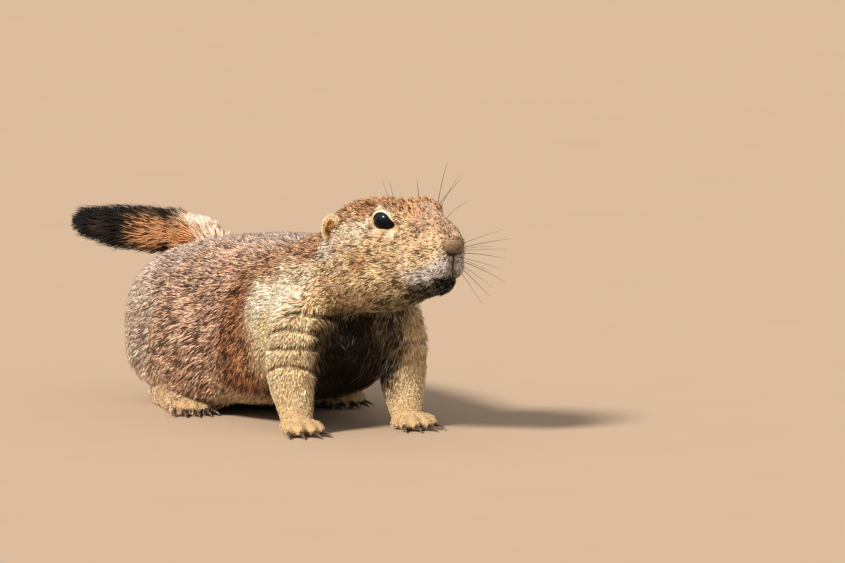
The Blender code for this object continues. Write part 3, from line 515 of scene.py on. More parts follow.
HEAD_TRACTS = (
    Tract((7, 0, 9.5), (1, 0, 0.35), Pelt.BRIDGE, 1.5, 0.5, 0.30, 6),
    Tract((15, 0, 14), (1, 0, 0.3), Pelt.BRIDGE, 2.4, 0.8, 0.34, 8),
    Tract((24, 0, 18), (1, 0, 0.15), Pelt.CROWN, 3.0, 2.0, 0.32, 8, 1.4),
    Tract((38, 0, 19), (1, 0, 0), Pelt.CROWN, 3.8, 2.2, 0.36, 12, 3.2),
    Tract((50, 0, 17), (1, 0, -0.1), Pelt.CROWN, 4.4, 2.4, 0.4, 12, 2.9),
    Tract((62, 0, 13), (1, 0, -0.25), Pelt.HACKLE, 5.5, 2.0, 0.5),
    Tract((26, 9, 15.5), (1, 0.2, 0.2), Pelt.CROWN, 2.8, 2.0, 0.32, 8, 1.0),
    Tract((18, 9, 12.8), (0.8, 0.2, 0.6), Pelt.CROWN, 2.8, 2.6, 0.3, 6, 0.0),
    Tract((40, 13, 15), (1, 0.15, 0), Pelt.CROWN, 3.6, 1.8, 0.36),
    Tract((52, 15, 13), (1, 0.1, -0.1), Pelt.CROWN, 4.2, 2.0, 0.4),
    Tract((12, 8.5, 8), (1, 0.35, 0.15), Pelt.BRIDGE, 1.9, 0.6, 0.32, 6),
    Tract((18, 11, 10), (1, 0.35, 0.1), Pelt.GOLD, 2.2, 0.7, 0.34, 7),
    Tract((9, 10.5, 0), (1, 0.45, 0.05), Pelt.GOLD, 1.9, 0.55, 0.32, 7),
    Tract((8, 11, -7), (1, 0.45, -0.15), Pelt.GOLD, 2.0, 0.6, 0.32, 6),
    Tract((2.5, 6, -13), (0.7, 0.5, -0.3), Pelt.LIP, 1.2, 0.4, 0.26, 3.6),
    Tract((7, 10, -15.5), (0.95, 0.3, -0.2), Pelt.LIP, 1.9, 0.55, 0.28, 4.6),
    Tract((14, 13, -18), (1, 0.2, -0.15), Pelt.LIP, 2.4, 0.7, 0.3, 4.2),
    Tract((1.5, 4.5, -9.5), (0.7, 0.7, -0.2), Pelt.LIP, 1.2, 0.4, 0.24, 3.2),
    Tract((5, 8.5, -12), (0.95, 0.4, -0.15), Pelt.LIP, 1.6, 0.45, 0.26, 4.0),
    Tract((3, 4, -19.5), (0.5, 0.3, -0.8), Pelt.CHIN, 2.0, 0.9, 0.26, 4),
    Tract((8.5, 8, -21.5), (0.8, 0.2, -0.6), Pelt.CHIN, 2.6, 1.2, 0.28, 4.5),
    Tract((15, 11, -23.5), (0.9, 0.1, -0.4), Pelt.CHIN, 2.8, 1.1, 0.28, 4),
    Tract((9, 0, -25.5), (1, 0, -0.35), Pelt.CHIN, 3.0, 1.6, 0.3, 6),
    Tract((18, 4, -28), (1, 0, -0.3), Pelt.CHIN, 3.2, 1.4, 0.32, 5),
    Tract((22, 14, -21.5), (1, 0.1, -0.3), Pelt.JAW, 3.0, 0.9, 0.3, 7),
    Tract((24, 8, -28.5), (1, 0.05, -0.25), Pelt.THROAT_SHADE, 3.6, 1.0, 0.34, 7),
    Tract((20, 16.5, -6), (1, 0.25, 0), Pelt.GOLD, 2.6, 0.7, 0.31, 9),
    Tract((28, 19, -12), (1, 0.15, -0.2), Pelt.GOLD, 3.2, 0.8, 0.32, 9),
    Tract((37, 22, -11), (1, 0.1, -0.25), Pelt.TAWNY, 3.6, 0.8, 0.3, 5.5),
    Tract((31, 19.5, -1), (1, 0.12, -0.05), Pelt.GOLD, 2.4, 0.6, 0.36, 6),
    Tract((40, 20.5, 5), (1, 0.1, 0), Pelt.CREAM, 2.8, 0.7, 0.33, 7),
    Tract((48, 22.5, 4), (1, 0, 0), Pelt.CREAM, 3.0, 0.8, 0.33, 7),
    Tract((46, 19.5, 11), (1, 0, -0.05), Pelt.GOLD, 3.2, 1.0, 0.34, 7),
    Tract((47, 24.5, -10), (1, 0, -0.3), Pelt.GOLD, 4.0, 1.0, 0.31, 9),
    Tract((57, 24, -6), (1, 0, -0.35), Pelt.EAR_BASE, 4.0, 1.2, 0.36, 7),
    Tract((63, 21, 4), (1, 0, -0.3), Pelt.HACKLE, 4.5, 1.5, 0.45, 7),
    Tract((44, 20, -26), (1, 0, -0.35), Pelt.GOLD, 4.8, 1.3, 0.4),
    Tract((57, 22, -22), (1, 0, -0.35), Pelt.GOLD, 5.4, 1.5, 0.48),
    Tract((30, 0, -33), (1, 0, -0.2), Pelt.THROAT_SHADE, 4.5, 1.5, 0.4),
    Tract((50, 0, -37), (1, 0, -0.2), Pelt.THROAT_SHADE, 5.5, 1.8, 0.5),
    Tract((23.5, 15.0, 4), (0.8, 0.5, -0.3), Pelt.EYE_RING, 1.3, 0.35, 0.24, 2.4),
    Tract((25.5, 15.0, 11.5), (0.9, 0.2, 0.4), Pelt.EYE_RING, 1.3, 0.35, 0.24, 2.3),
    Tract((30.5, 16.0, 14.8), (1, 0.1, 0.35), Pelt.EYE_RING, 1.4, 0.35, 0.24, 2.6),
    Tract((36.5, 18.5, 9), (1, 0.1, 0), Pelt.EYE_RING, 1.6, 0.4, 0.26, 2.6),
    Tract((31, 19.0, 3.0), (1, 0.1, -0.3), Pelt.EYE_RING, 1.3, 0.35, 0.24, 2.3),
    Tract((54.6, 24.4, 3.5), (0.3, 0, 1), Pelt.EAR_INSIDE, 1.6, 0.5, 0.28, 2.6),
    Tract((59.0, 22.2, 9.2), (0.6, 0, 0.8), Pelt.EAR_RIM, 1.8, 0.5, 0.28, 3.0),
    Tract((60.2, 22.0, 3.5), (1, 0, 0.2), Pelt.EAR_RIM, 1.8, 0.5, 0.28, 3.0),
    Tract((56.0, 22.0, -2.6), (0.5, 0, -0.8), Pelt.EAR_RIM, 1.8, 0.5, 0.28, 2.6),
)

BODY_TRACTS = (
    Tract((84, 0, 95), (-1, 0, -0.15), Pelt.HACKLE, 6.0, 2.0),
    Tract((58, 0, 90), (-1, 0, -0.05), Pelt.BACK, 6.5, 2.3, 0.48),
    Tract((30, 0, 88), (-1, 0, -0.05), Pelt.BACK, 7.0, 2.4, 0.48, 16),
    Tract((0, 0, 85), (-1, 0, -0.08), Pelt.BACK, 7.0, 2.4, 0.48, 16),
    Tract((-30, 0, 81), (-1, 0, -0.12), Pelt.BACK, 7.0, 2.5, 0.48, 16),
    Tract((-58, 0, 77), (-1, 0, -0.25), Pelt.RUMP, 7.5, 2.6, 0.48, 16),
    Tract((-80, 0, 68), (-0.8, 0, -0.5), Pelt.RUMP, 7.5, 2.6, 0.48),
    Tract((-97, 6, 45), (-0.25, 0, -1), Pelt.RUMP, 7.5, 2.5, 0.48),
    Tract((-95, 8, 20), (0.2, 0, -1), Pelt.BELLY, 7.0, 2.4, 0.48),
    Tract((88, 22, 86), (-1, 0.1, -0.35), Pelt.HACKLE, 5.5, 1.9),
    Tract((90, 26, 74), (-1, 0.1, -0.3), Pelt.CREAM, 5.5, 1.8),
    Tract((96, 22, 62), (-1, 0.1, -0.35), Pelt.THROAT, 5.5, 1.8),
    Tract((62, 32, 82), (-0.9, 0.15, -0.5), Pelt.HACKLE, 6.0, 2.1),
    Tract((84, 30, 66), (-0.85, 0.2, -0.45), Pelt.SHOULDER, 5.5, 1.9),
    Tract((70, 38, 62), (-0.8, 0.1, -0.6), Pelt.SHOULDER, 5.5, 1.9),
    Tract((48, 40, 64), (-0.8, 0.05, -0.6), Pelt.RED_FLANK, 6.5, 2.2, 0.48),
    Tract((25, 36, 76), (-0.93, 0.1, -0.35), Pelt.FLANK, 6.8, 2.2, 0.48, 14),
    Tract((-5, 38, 74), (-0.95, 0.05, -0.28), Pelt.FLANK, 7.0, 2.3, 0.48, 14),
    Tract((-35, 34, 74), (-0.95, 0, -0.28), Pelt.BACK, 7.0, 2.4, 0.48, 14),
    Tract((42, 42, 42), (-0.6, 0, -0.8), Pelt.RED_FLANK, 6.5, 2.1, 0.48),
    Tract((15, 46, 48), (-0.88, 0, -0.45), Pelt.FLANK, 6.8, 2.2, 0.48, 16),
    Tract((42, 40, 22), (-0.5, 0, -0.85), Pelt.RED_FLANK, 6.5, 2.1, 0.48),
    Tract((12, 45, 20), (-0.85, 0, -0.5), Pelt.FLANK, 6.8, 2.2, 0.48, 16),
    Tract((-15, 44, 58), (-0.9, 0, -0.42), Pelt.FLANK, 6.8, 2.2, 0.48, 14),
    Tract((-12, 51, 35), (-0.88, 0, -0.45), Pelt.FLANK, 6.8, 2.2, 0.48, 16),
    Tract((-12, 50, 14), (-0.85, 0, -0.45), Pelt.FLANK, 6.5, 2.1, 0.48, 14),
    Tract((-45, 50, 42), (-0.8, -0.1, -0.6), Pelt.RUMP, 7.0, 2.3, 0.48, 14),
    Tract((-62, 46, 50), (-0.8, -0.1, -0.55), Pelt.RUMP, 7.2, 2.4, 0.48, 14),
    Tract((-70, 42, 22), (-0.5, -0.1, -0.85), Pelt.RUMP, 7.0, 2.4, 0.48, 14),
    Tract((10, 30, 5), (-1, 0, 0), Pelt.BELLY, 6.0, 1.8, 0.48, 14),
    Tract((0, 0, 3.5), (-1, 0, 0), Pelt.BELLY, 6.0, 1.8, 0.48, 18),
    # Painted shade: the chest under the head takes near-black hair.
    Tract((92, 0, 50), (-0.2, 0, -1), Pelt.CHEST_SHADE, 8.5, 2.6, 0.5),
    Tract((97, 0, 62), (-0.5, 0, -0.85), Pelt.THROAT_SHADE, 7.0, 2.2, 0.5),
    Tract((82, 0, 28), (-0.35, 0, -0.95), Pelt.CHEST_SHADE, 8.5, 2.8, 0.5),
    Tract((60, 0, 12), (-1, 0, -0.2), Pelt.CHEST_SHADE, 7.0, 2.4, 0.55),
    Tract((76, 14, 44), (-0.2, -0.3, -0.9), Pelt.CHEST_SHADE, 8.0, 2.8, 0.5, 9),
    Tract((78, 37, 50), (-0.5, 0.2, -0.8), Pelt.LEG, 4.2, 1.0, 0.42),
    Tract((94, 29, 48), (-0.1, 0.1, -1), Pelt.LEG, 4.0, 1.0, 0.4),
    Tract((83, 40, 32), (-0.25, 0, -1), Pelt.LEG, 3.2, 0.8, 0.36, 10),
    Tract((96, 29, 30), (0, 0, -1), Pelt.LEG, 3.0, 0.7, 0.34, 10),
    Tract((68, 30, 30), (-0.5, 0, -0.85), Pelt.LEG, 5.5, 2.0, 0.5, 10),
    # Painted shade on the inner sides of the forelegs, near black, and on the far foreleg's visible side.
    Tract((84, 18, 32), (-0.1, 0, -1), Pelt.CHEST_SHADE, 5.0, 1.6, 0.48, 7),
    Tract((90, 8, 40), (-0.2, 0, -1), Pelt.CHEST_SHADE, 6.0, 2.0, 0.48, 9),
    Tract((74, 8, 20), (-0.4, 0, -0.9), Pelt.CHEST_SHADE, 6.0, 2.0, 0.48, 10),
    Tract((62, 20, 20), (-0.6, 0, -0.8), Pelt.CHEST_SHADE, 5.0, 1.6, 0.48, 8),
    Tract((98, 22, 58), (0.1, -0.2, -1), Pelt.ARM_SHADE, 5.5, 1.6, 0.4, 14, left_only=True),
    Tract((98, 21, 50), (0.1, -0.2, -1), Pelt.ARM_SHADE, 5.0, 1.4, 0.38, 13, left_only=True),
    Tract((97, 20, 42), (0.1, -0.2, -1), Pelt.ARM_SHADE, 4.5, 1.2, 0.36, 9, left_only=True),
    Tract((80, 19, 44), (-0.3, -0.3, -1), Pelt.CHEST_SHADE, 5.0, 1.8, 0.48, 6),
    Tract((95, 19, 46), (0, -0.3, -1), Pelt.CHEST_SHADE, 5.0, 1.8, 0.4, 6),
    Tract((93, 18, 34), (0, -0.2, -1), Pelt.CHEST_SHADE, 4.5, 1.5, 0.4, 5),
    Tract((86, 29, 16), (0.2, 0, -1), Pelt.LEG, 2.2, 0.5, 0.3, 8),
    Tract((95, 29, 9), (1, 0, -0.3), Pelt.FOOT, 1.4, 0.35, 0.28, 7),
    Tract((88, 34, 5), (0.8, 0.2, -0.4), Pelt.FOOT, 1.4, 0.35, 0.28, 7),
    Tract((88, 22, 5), (0.8, -0.2, -0.4), Pelt.FOOT, 1.4, 0.35, 0.28, 7),
    Tract((102, 24, 5), (1, 0, -0.3), Pelt.FOOT, 1.1, 0.25, 0.24, 6),
    Tract((102, 33, 5), (1, 0, -0.3), Pelt.FOOT, 1.1, 0.25, 0.24, 6),
    Tract((-2, 42, 6), (1, 0, -0.2), Pelt.FOOT, 1.3, 0.3, 0.28, 7),
    Tract((-6, 36, 6), (1, -0.1, -0.2), Pelt.FOOT, 1.3, 0.3, 0.28, 7),
    Tract((-6, 48, 6), (1, 0.1, -0.2), Pelt.FOOT, 1.3, 0.3, 0.28, 7),
    Tract((-18, 42, 8), (1, 0, -0.15), Pelt.FOOT, 1.6, 0.4, 0.3, 7),
    Tract((-24, 49, 5), (1, 0, -0.15), Pelt.FOOT, 1.6, 0.4, 0.3, 7),
    Tract((-36, 44, 5), (1, 0, -0.1), Pelt.FOOT, 1.9, 0.5, 0.32, 7),
    Tract((-52, 40, 5), (0.8, 0, -0.3), Pelt.FOOT, 2.0, 0.5, 0.34, 7),
    Tract((-60, 34, 6), (0.4, 0, -0.6), Pelt.FOOT, 2.0, 0.5, 0.34, 7),
)


@dataclass(frozen=True)
class TailLine:
    """The tail's middle line in mm from inside the rump to the tip, and its core's radius at each place."""

    middle: tuple = (
        (-74.5, 3.1, 52), (-85.5, 6.1, 64), (-94.5, 8.1, 73), (-107.5, 0.1, 75.5),
        (-120.5, -8.9, 75), (-134, -18.4, 75.5), (-147, -27.9, 77), (-157, -34.9, 77.6),
    )
    core: tuple = (7.0, 7.0, 6.3, 5.4, 4.9, 4.3, 2.8, 0.9)

    def at(self, station: np.ndarray) -> tuple:
        """Read the line at places counted in stations from 0.

        Args:
            station: whole numbers are the listed places, and fractions lie between them.

        Returns:
            The centres in metres, the way the line runs, and the core's radii in metres.
        """
        listed = np.arange(len(self.middle))
        rows = np.array(self.middle, dtype=float)
        # A light blur over the neighbours rounds the bends between the listed places.
        soft = rows.copy()
        soft[1:-1] = 0.2 * rows[:-2] + 0.6 * rows[1:-1] + 0.2 * rows[2:]
        centre = read_between(station, listed, soft) * MM
        # The way runs from half a station behind to half a station ahead.
        way = unit(read_between(station + 0.5, listed, soft) - read_between(station - 0.5, listed, soft))
        return centre, way, np.interp(station, listed, self.core) * MM


# Along the tail: station, how far up and how far to the outer side of the core, the hair, length, height.
TAIL_TRACTS = (
    (1.5, 1, 0, Pelt.TAIL_CREAM, 6.5, 2.4),
    (1.5, 0, 1, Pelt.TAIL_ORANGE, 11, 3.8),
    (1.5, 0, -1, Pelt.TAIL_ORANGE, 11, 3.8),
    (1.7, -1, 0, Pelt.TAIL_ORANGE, 9, 3.0),
    (2.4, 1, 0, Pelt.TAIL_CREAM, 8, 3.4),
    (2.4, 0, 1, Pelt.TAIL_ORANGE, 12, 4.2),
    (2.4, 0, -1, Pelt.TAIL_ORANGE, 12, 4.2),
    (2.5, -1, 0, Pelt.TAIL_ORANGE, 11, 4.0),
    (3.2, 1, 0, Pelt.TAIL_BLACK, 12, 5.0),
    (3.2, 0, 1, Pelt.TAIL_ORANGE, 11, 4.4),
    (3.2, 0, -1, Pelt.TAIL_ORANGE, 11, 4.4),
    (3.1, -1, 0, Pelt.TAIL_BLACK, 12, 4.8),
    (4.0, 1, 0, Pelt.TAIL_BLACK, 13, 5.4),
    (3.9, 0, 1, Pelt.TAIL_ORANGE, 12, 4.8),
    (3.9, 0, -1, Pelt.TAIL_ORANGE, 12, 4.8),
    (4.0, -1, 0, Pelt.TAIL_BLACK, 13, 5.2),
    (4.7, 1, 0, Pelt.TAIL_BLACK, 13, 5.4),
    (4.6, 0, 1, Pelt.TAIL_BLACK, 13, 5.0),
    (4.6, 0, -1, Pelt.TAIL_BLACK, 13, 5.0),
    (4.8, -1, 0, Pelt.TAIL_BLACK, 13, 5.2),
    (5.8, 1, 0, Pelt.TAIL_BLACK, 13, 4.6),
    (5.8, -1, 0, Pelt.TAIL_BLACK, 13, 4.6),
    (6.4, 0, 0, Pelt.TAIL_BLACK, 5.5, 3.4),
    (7.0, 0, 0, Pelt.TAIL_BLACK, 2.5, 1.6),
)


def spine_aside(forward: np.ndarray) -> np.ndarray:
    """Give how far left the spine runs, in mm, at a place along the body in mm."""
    return np.interp(forward, (-100.0, -40.0, 60.0), (3.1, 1.1, CHEST_LEFT))


@dataclass
class Pelage:
    """All tracts together, from which any place on the skin takes its hair by nearness."""

    head: HeadFrame
    tail: TailLine
    # A tract's weight falls off by this power of its distance, from this softness at the tract itself.
    sharpness: float = 2.2
    softness: float = 0.12
    # How much more a tract sways skin that faces its own way.
    facing: float = 2.2
    # Points that are blended at a time, which keeps the arrays small.
    batch: int = 20000
    places: np.ndarray = field(init=False)
    ways: np.ndarray = field(init=False)
    reaches: np.ndarray = field(init=False)
    table: np.ndarray = field(init=False)

    # Columns of the table, and of what at() returns.
    LIE, UNDER, SHAFT, PALE, DARK = (slice(3 * i, 3 * i + 3) for i in range(5))
    SHARE, LENGTH, HEIGHT, WIDTH, INSET = range(15, 20)
    TINTS = (UNDER, SHAFT, PALE)

    def __post_init__(self) -> None:
        """Lay out the tracts of both sides as arrays."""
        rows = []
        for tract in HEAD_TRACTS:
            for side in SIDES.values() if tract.place[1] else (1.0,):
                rows.append((self.head.at(tract.place, side), self.head.turn(tract.lie, side), tract, 1.0))
        for tract in BODY_TRACTS:
            ahead, aside, up = tract.place
            for side in SIDES.values() if aside and not tract.left_only else (1.0,):
                place = np.array((ahead, side * aside + float(spine_aside(ahead)), up)) * MM
                rows.append((place, np.array(tract.lie) * (1.0, side, 1.0), tract, 1.0))
        for station, up, out, pelt, length, height in TAIL_TRACTS:
            centre, along, core = self.tail.at(np.array(float(station)))
            beside = unit(np.cross(along, UP))
            over = np.cross(beside, along)
            place = centre + core * (over * up + beside * out)
            # The locks are a little shorter and stand off a little more than listed; the core has no inset.
            lock = Tract((), (), pelt, 0.86 * length, height + 0.6, width=0.5, reach=6.0)
            rows.append((place, along, lock, 0.0))
        self.places = np.stack([row[0] for row in rows])
        self.reaches = np.array([row[2].reach for row in rows]) * MM
        self.table = np.stack([tract.row(lie) for _, lie, tract, _ in rows])
        self.table[:, self.INSET] *= [inset for *_, inset in rows]
        self.ways = np.zeros_like(self.places)

    @staticmethod
    def ground(hair: np.ndarray) -> np.ndarray:
        """Return the colour of skin seen between tufts: the underfur's with some of the shafts'; its dark is
        partly the underfur's own and partly painted shade deep in the coat.
        """
        return 0.6 * hair[:, Pelage.UNDER] + 0.4 * hair[:, Pelage.SHAFT]

    def face_outwards(self, points: np.ndarray, normals: np.ndarray) -> None:
        """Give each tract the way that the nearest skin faces, so that it sways only skin facing its way."""
        for row, place in enumerate(self.places):
            self.ways[row] = normals[np.argmin(((points - place) ** 2).sum(axis=1))]

    def at(self, points: np.ndarray, normals: np.ndarray) -> np.ndarray:
        """Blend the tracts at each point.

        A tract weighs exp(2.2 n . m) over (0.12 + (d / reach)^2)^2.2, where d is its distance and n . m is
        how far the skin there faces the tract's way.

        Args:
            points: places in metres.
            normals: the way the skin faces there.

        Returns:
            A row a point, with the table's columns.
        """
        blended = np.empty((len(points), self.table.shape[1]))
        for start in range(0, len(points), self.batch):
            part = slice(start, start + self.batch)
            away = points[part, None] - self.places
            near = (away ** 2).sum(axis=2) / self.reaches ** 2
            faced = np.exp(self.facing * normals[part] @ self.ways.T)
            weight = faced / (self.softness + near) ** self.sharpness
            weight /= weight.sum(axis=1, keepdims=True)
            blended[part] = weight @ self.table
        return blended


@dataclass(frozen=True)
class Crease:
    """A fold in the skin along a line: its places in mm, how deep and how broad it is, and how much painted
    shade darkens it.
    """

    line: tuple
    depth: float
    breadth: float
    shade: float

    def strength(self, points: np.ndarray) -> np.ndarray:
        """Return exp(-(d / breadth)^2), where d is the distance to the line."""
        away = path_distance(points, np.array(self.line, dtype=float) * MM)
        return np.exp(-((away / (self.breadth * MM)) ** 2))


@dataclass(frozen=True)
class LegFold:
    """A fold round the outside of a foreleg, which hangs down to both sides of its highest place.

    height is that place's height in mm and middle its angle round the leg, from ahead outwards. side is -1
    for the right leg and 1 for the left.
    """

    height: float
    middle: float
    side: float
    depth: float = 1.6
    breadth: float = 0.7
    shade: float = 0.97
    axis: tuple = (84.0, 28.0)

    def strength(self, points: np.ndarray) -> np.ndarray:
        """Return a bell curve over the height off the line, faded out round the leg and away from it."""
        x, y, z = points.T / MM
        out = self.side * (y - CHEST_LEFT) - self.axis[1]
        turn = np.arctan2(out, x - self.axis[0]) - self.middle
        line = self.height - 3.4 * (1 - np.cos(turn)) + 0.7 * np.sin(2.3 * turn + self.height)
        window = smoothstep(1.75, 1.1, np.abs(turn)) * smoothstep(25, 21, np.hypot(x - self.axis[0], out))
        return window * np.exp(-(((z - line) / self.breadth) ** 2))


@dataclass
class Skin:
    """The one skin over all flesh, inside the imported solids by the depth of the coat."""

    head: HeadFrame
    tail: TailLine
    pelage: Pelage
    nose: "Nose"
    voxel: float = 0.8 * MM
    most_triangles: int = 175000
    # How far each solid is swollen before they are fused.
    swell: float = 0.25 * MM
    tail_rings: int = 60
    points: np.ndarray = field(init=False)
    triangles: np.ndarray = field(init=False)
    normals: np.ndarray = field(init=False)
    creases: tuple = field(init=False)
    mouth: tuple = field(init=False)

    # The mouth's line and the groove from the nose to it, behind the nose, aside and up, in mm.
    MOUTH_LINE = (
        (-0.3, 0.0, -17.2), (1.4, 5.0, -17.6), (5.3, 9.4, -18.6), (11.3, 12.6, -20.6), (14.5, 14.0, -22.0),
    )
    LIP_GROOVE = ((-2.4, 0.0, -5.2), (-1.6, 0.0, -7.0), (-1.4, 0.0, -11.0), (-0.5, 0.0, -17.2))
    # Each foreleg's folds: height in mm and the angle of the highest place.
    LEG_FOLDS = ((57.0, -0.1), (50.0, 0.3), (42.0, 0.45), (32.5, 0.55))
    # The groove before a haunch and the line where a foreleg leaves the chest: forward, aside and up, in mm.
    GROOVE = ((-52, 50, 18), (-49.5, 50, 32), (-40, 46, 48), (-28.5, 41, 60), (-32, 30, 70), (-36.5, 18, 76))
    ARMPIT = ((58, 41, 70), (55, 42, 60), (56, 43, 48), (58, 42, 38), (62, 38, 26))
    FLESH = ("belly", "chest", "rump", "neck", "head") + tuple(
        f"{part}_{side}"
        for part in ("thigh", "upper_arm", "forearm", "forefoot", "hindfoot")
        for side in SIDES
    )
    FILLERS = ("eye_right", "eye_left", "nose")

    def __post_init__(self) -> None:
        """Lay the creases: the forelegs' folds, the grooves before the haunches, the armpits and the lips."""
        folds, grooves, armpits = [], [], []
        for height, middle in self.LEG_FOLDS:
            # The right leg's folds, on the photo's side, get more painted shade than the left leg's.
            folds.append(LegFold(height, middle, SIDES["right"], shade=0.97))
            folds.append(LegFold(height, middle, SIDES["left"], shade=0.5))
        for side in SIDES.values():
            groove = tuple((x, side * y + float(spine_aside(x)), z) for x, y, z in self.GROOVE)
            grooves.append(Crease(groove, depth=3.0, breadth=3.0, shade=0.75))
            armpit = tuple((x, side * y + CHEST_LEFT, z) for x, y, z in self.ARMPIT)
            armpits.append(Crease(armpit, depth=1.0, breadth=2.2, shade=0.5))
        lips = [(self.head.at(self.MOUTH_LINE, side), 0.62) for side in SIDES.values()]
        lips.append((self.head.at(self.LIP_GROOVE), 0.5))
        lips += [(self.nose.slit_path(side), 0.75) for side in SIDES.values()]
        self.mouth = tuple(Crease(tuple(map(tuple, line / MM)), 0.9, breadth, 0.9) for line, breadth in lips)
        self.creases = tuple(folds + grooves + armpits) + self.mouth

    def build(self) -> None:
        """Fuse the solids, thin them, smooth them, and draw them in by the coat's depth."""
        mesh = self.fused()
        points, triangles = read_mesh(mesh)
        bpy.data.meshes.remove(mesh)
        points = relaxed(points, triangles, self.stiffness(points), passes=10)
        normals = point_normals(points, triangles)
        self.pelage.face_outwards(points, normals)
        hair = self.pelage.at(points, normals)
        # Soles stay on the floor: the coat's depth fades out below 3 mm.
        depth = hair[:, Pelage.INSET] * MM * smoothstep(0.0, 3.0 * MM, points[:, 2])
        for crease in self.creases:
            depth = depth + crease.depth * MM * crease.strength(points)
        points = points - normals * depth[:, None]
        points = relaxed(points, triangles, self.stiffness(points), passes=2)
        points = self.sunk_under_nose(self.sunk_under_eyes(points))
        points[:, 2] = np.maximum(points[:, 2], 0.0)
        self.points, self.triangles = points, triangles
        self.normals = point_normals(points, triangles)

    def surface(self, chosen: np.ndarray) -> Surface:
        """Return the skin with only the chosen triangles carrying hair."""
        return Surface(self.points, self.triangles[chosen], self.normals)

    def fused(self) -> bpy.types.Mesh:
        """Join copies of the flesh nodes, each a little swollen to close the gaps, into one closed mesh.

        Returns:
            The mesh, thinned most where it is plain.
        """
        parts = [swollen_copy(node, self.swell) for node in self.FLESH + self.FILLERS]
        centre, _, core = self.tail.at(np.linspace(0, len(self.tail.core) - 1, self.tail_rings))
        tail = carried_profile(centre, core, 24, 1.0, np.zeros((self.tail_rings, 3)))
        parts.append((tail.points, tail.triangles))
        starts = np.cumsum([0] + [len(points) for points, _ in parts[:-1]])
        flesh = linked(
            "flesh",
            np.concatenate([points for points, _ in parts]),
            np.concatenate([triangles + start for (_, triangles), start in zip(parts, starts)]),
        )
        flesh.modifiers.new("fuse", "REMESH").voxel_size = self.voxel
        fine = applied(flesh)
        flesh.modifiers.clear()
        flesh.data = fine
        rough = read_points(fine)
        group = flesh.vertex_groups.new(name="plain")
        plain = np.nonzero(self.stiffness(rough) < 0.5)[0]
        group.add(plain.tolist(), 1.0, "REPLACE")
        count = sum(len(polygon.vertices) - 2 for polygon in fine.polygons)
        thin = flesh.modifiers.new("thin", "DECIMATE")
        thin.vertex_group = "plain"
        thin.ratio = min(1.0, self.most_triangles / count)
        thinned = applied(flesh)
        bpy.data.objects.remove(flesh)
        return thinned

    def stiffness(self, points: np.ndarray) -> np.ndarray:
        """Tell how much detail to keep: 1 on the face and feet, 0 on the body."""
        back, left, up = self.head.measure(points).T
        muzzle = smoothstep(26, 16, np.sqrt(back ** 2 + left ** 2 + (up + 10) ** 2))
        eye = smoothstep(11, 6, np.sqrt((back - 30) ** 2 + (np.abs(left) - 15) ** 2 + (up - 8) ** 2))
        feet = smoothstep(15 * MM, 11 * MM, points[:, 2]) * (
            (points[:, 0] > 70 * MM) | ((points[:, 0] > -64 * MM) & (points[:, 0] < 4 * MM))
        ) * (np.abs(points[:, 1]) > 14 * MM)
        return np.clip(np.maximum(np.maximum(muzzle, eye), feet), 0.0, 1.0)

    def sunk_under_eyes(self, points: np.ndarray) -> np.ndarray:
        """Push skin that would cover an eyeball to 0.5 mm under its surface, inside the lids' outline."""
        for side in SIDES:
            socket = Socket(self.head, side)
            inside = socket.opening(points) < socket.cover
            away = points - socket.centre
            far = np.linalg.norm(away, axis=1)
            held = np.minimum(far, socket.radius - 0.5 * MM)
            sunk = socket.centre + away * (held / np.maximum(far, 1e-9))[:, None]
            points = np.where(inside[:, None], sunk, points)
        return points

    def sunk_under_nose(self, points: np.ndarray) -> np.ndarray:
        """Draw skin on the nose's dome a quarter of the way to its middle, so that only the dome is seen."""
        middle = self.nose.middle()
        drawn = 0.25 * smoothstep(1.07, 0.99, self.nose.share(points))
        return middle + (points - middle) * (1 - drawn)[:, None]

    def shading(self, points: np.ndarray) -> np.ndarray:
        """Return how far the creases let light in: 1 on open skin, less in a fold."""
        light = np.ones(len(points))
        for crease in self.creases:
            light *= 1.0 - crease.shade * crease.strength(points)
        return light

    def piece(self) -> bpy.types.Object:
        """Make the skin's piece, coloured as the underfur with a little of the shafts."""
        hair = self.pelage.at(self.points, self.normals)
        tint = Pelage.ground(hair) * self.shading(self.points)[:, None]
        piece = Shell(self.points, self.triangles, tint).piece("skin", SKIN.material(), "flank_fur")
        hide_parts(*self.FLESH, "tail")
        return piece


def read_points(mesh: bpy.types.Mesh) -> np.ndarray:
    """Read a mesh's vertices as rows."""
    points = np.empty(len(mesh.vertices) * 3, dtype=np.float32)
    mesh.vertices.foreach_get("co", points)
    return points.reshape(-1, 3).astype(float)


def read_mesh(mesh: bpy.types.Mesh) -> tuple:
    """Read a mesh's vertices and its triangulated faces."""
    mesh.calc_loop_triangles()
    triangles = np.empty(len(mesh.loop_triangles) * 3, dtype=np.int32)
    mesh.loop_triangles.foreach_get("vertices", triangles)
    return read_points(mesh), triangles.reshape(-1, 3)


def linked(name: str, points: np.ndarray, triangles: np.ndarray) -> bpy.types.Object:
    """Link a new object made of points and triangles, for modifiers to work on."""
    mesh = bpy.data.meshes.new(name)
    mesh.from_pydata(points.tolist(), [], triangles.tolist())
    made = bpy.data.objects.new(name, mesh)
    bpy.context.scene.collection.objects.link(made)
    return made


def applied(piece: bpy.types.Object) -> bpy.types.Mesh:
    """Return a new mesh of an object with its modifiers applied."""
    bpy.context.view_layer.update()
    return bpy.data.meshes.new_from_object(piece.evaluated_get(bpy.context.evaluated_depsgraph_get()))


def point_normals(points: np.ndarray, triangles: np.ndarray) -> np.ndarray:
    """Average the faces' normals at each point, weighted by area."""
    a, b, c = corners(points, triangles)
    face = np.cross(b - a, c - a)
    total = np.zeros_like(points)
    for corner in range(3):
        for axis in range(3):
            total[:, axis] += np.bincount(triangles[:, corner], face[:, axis], len(points))
    return unit(total)


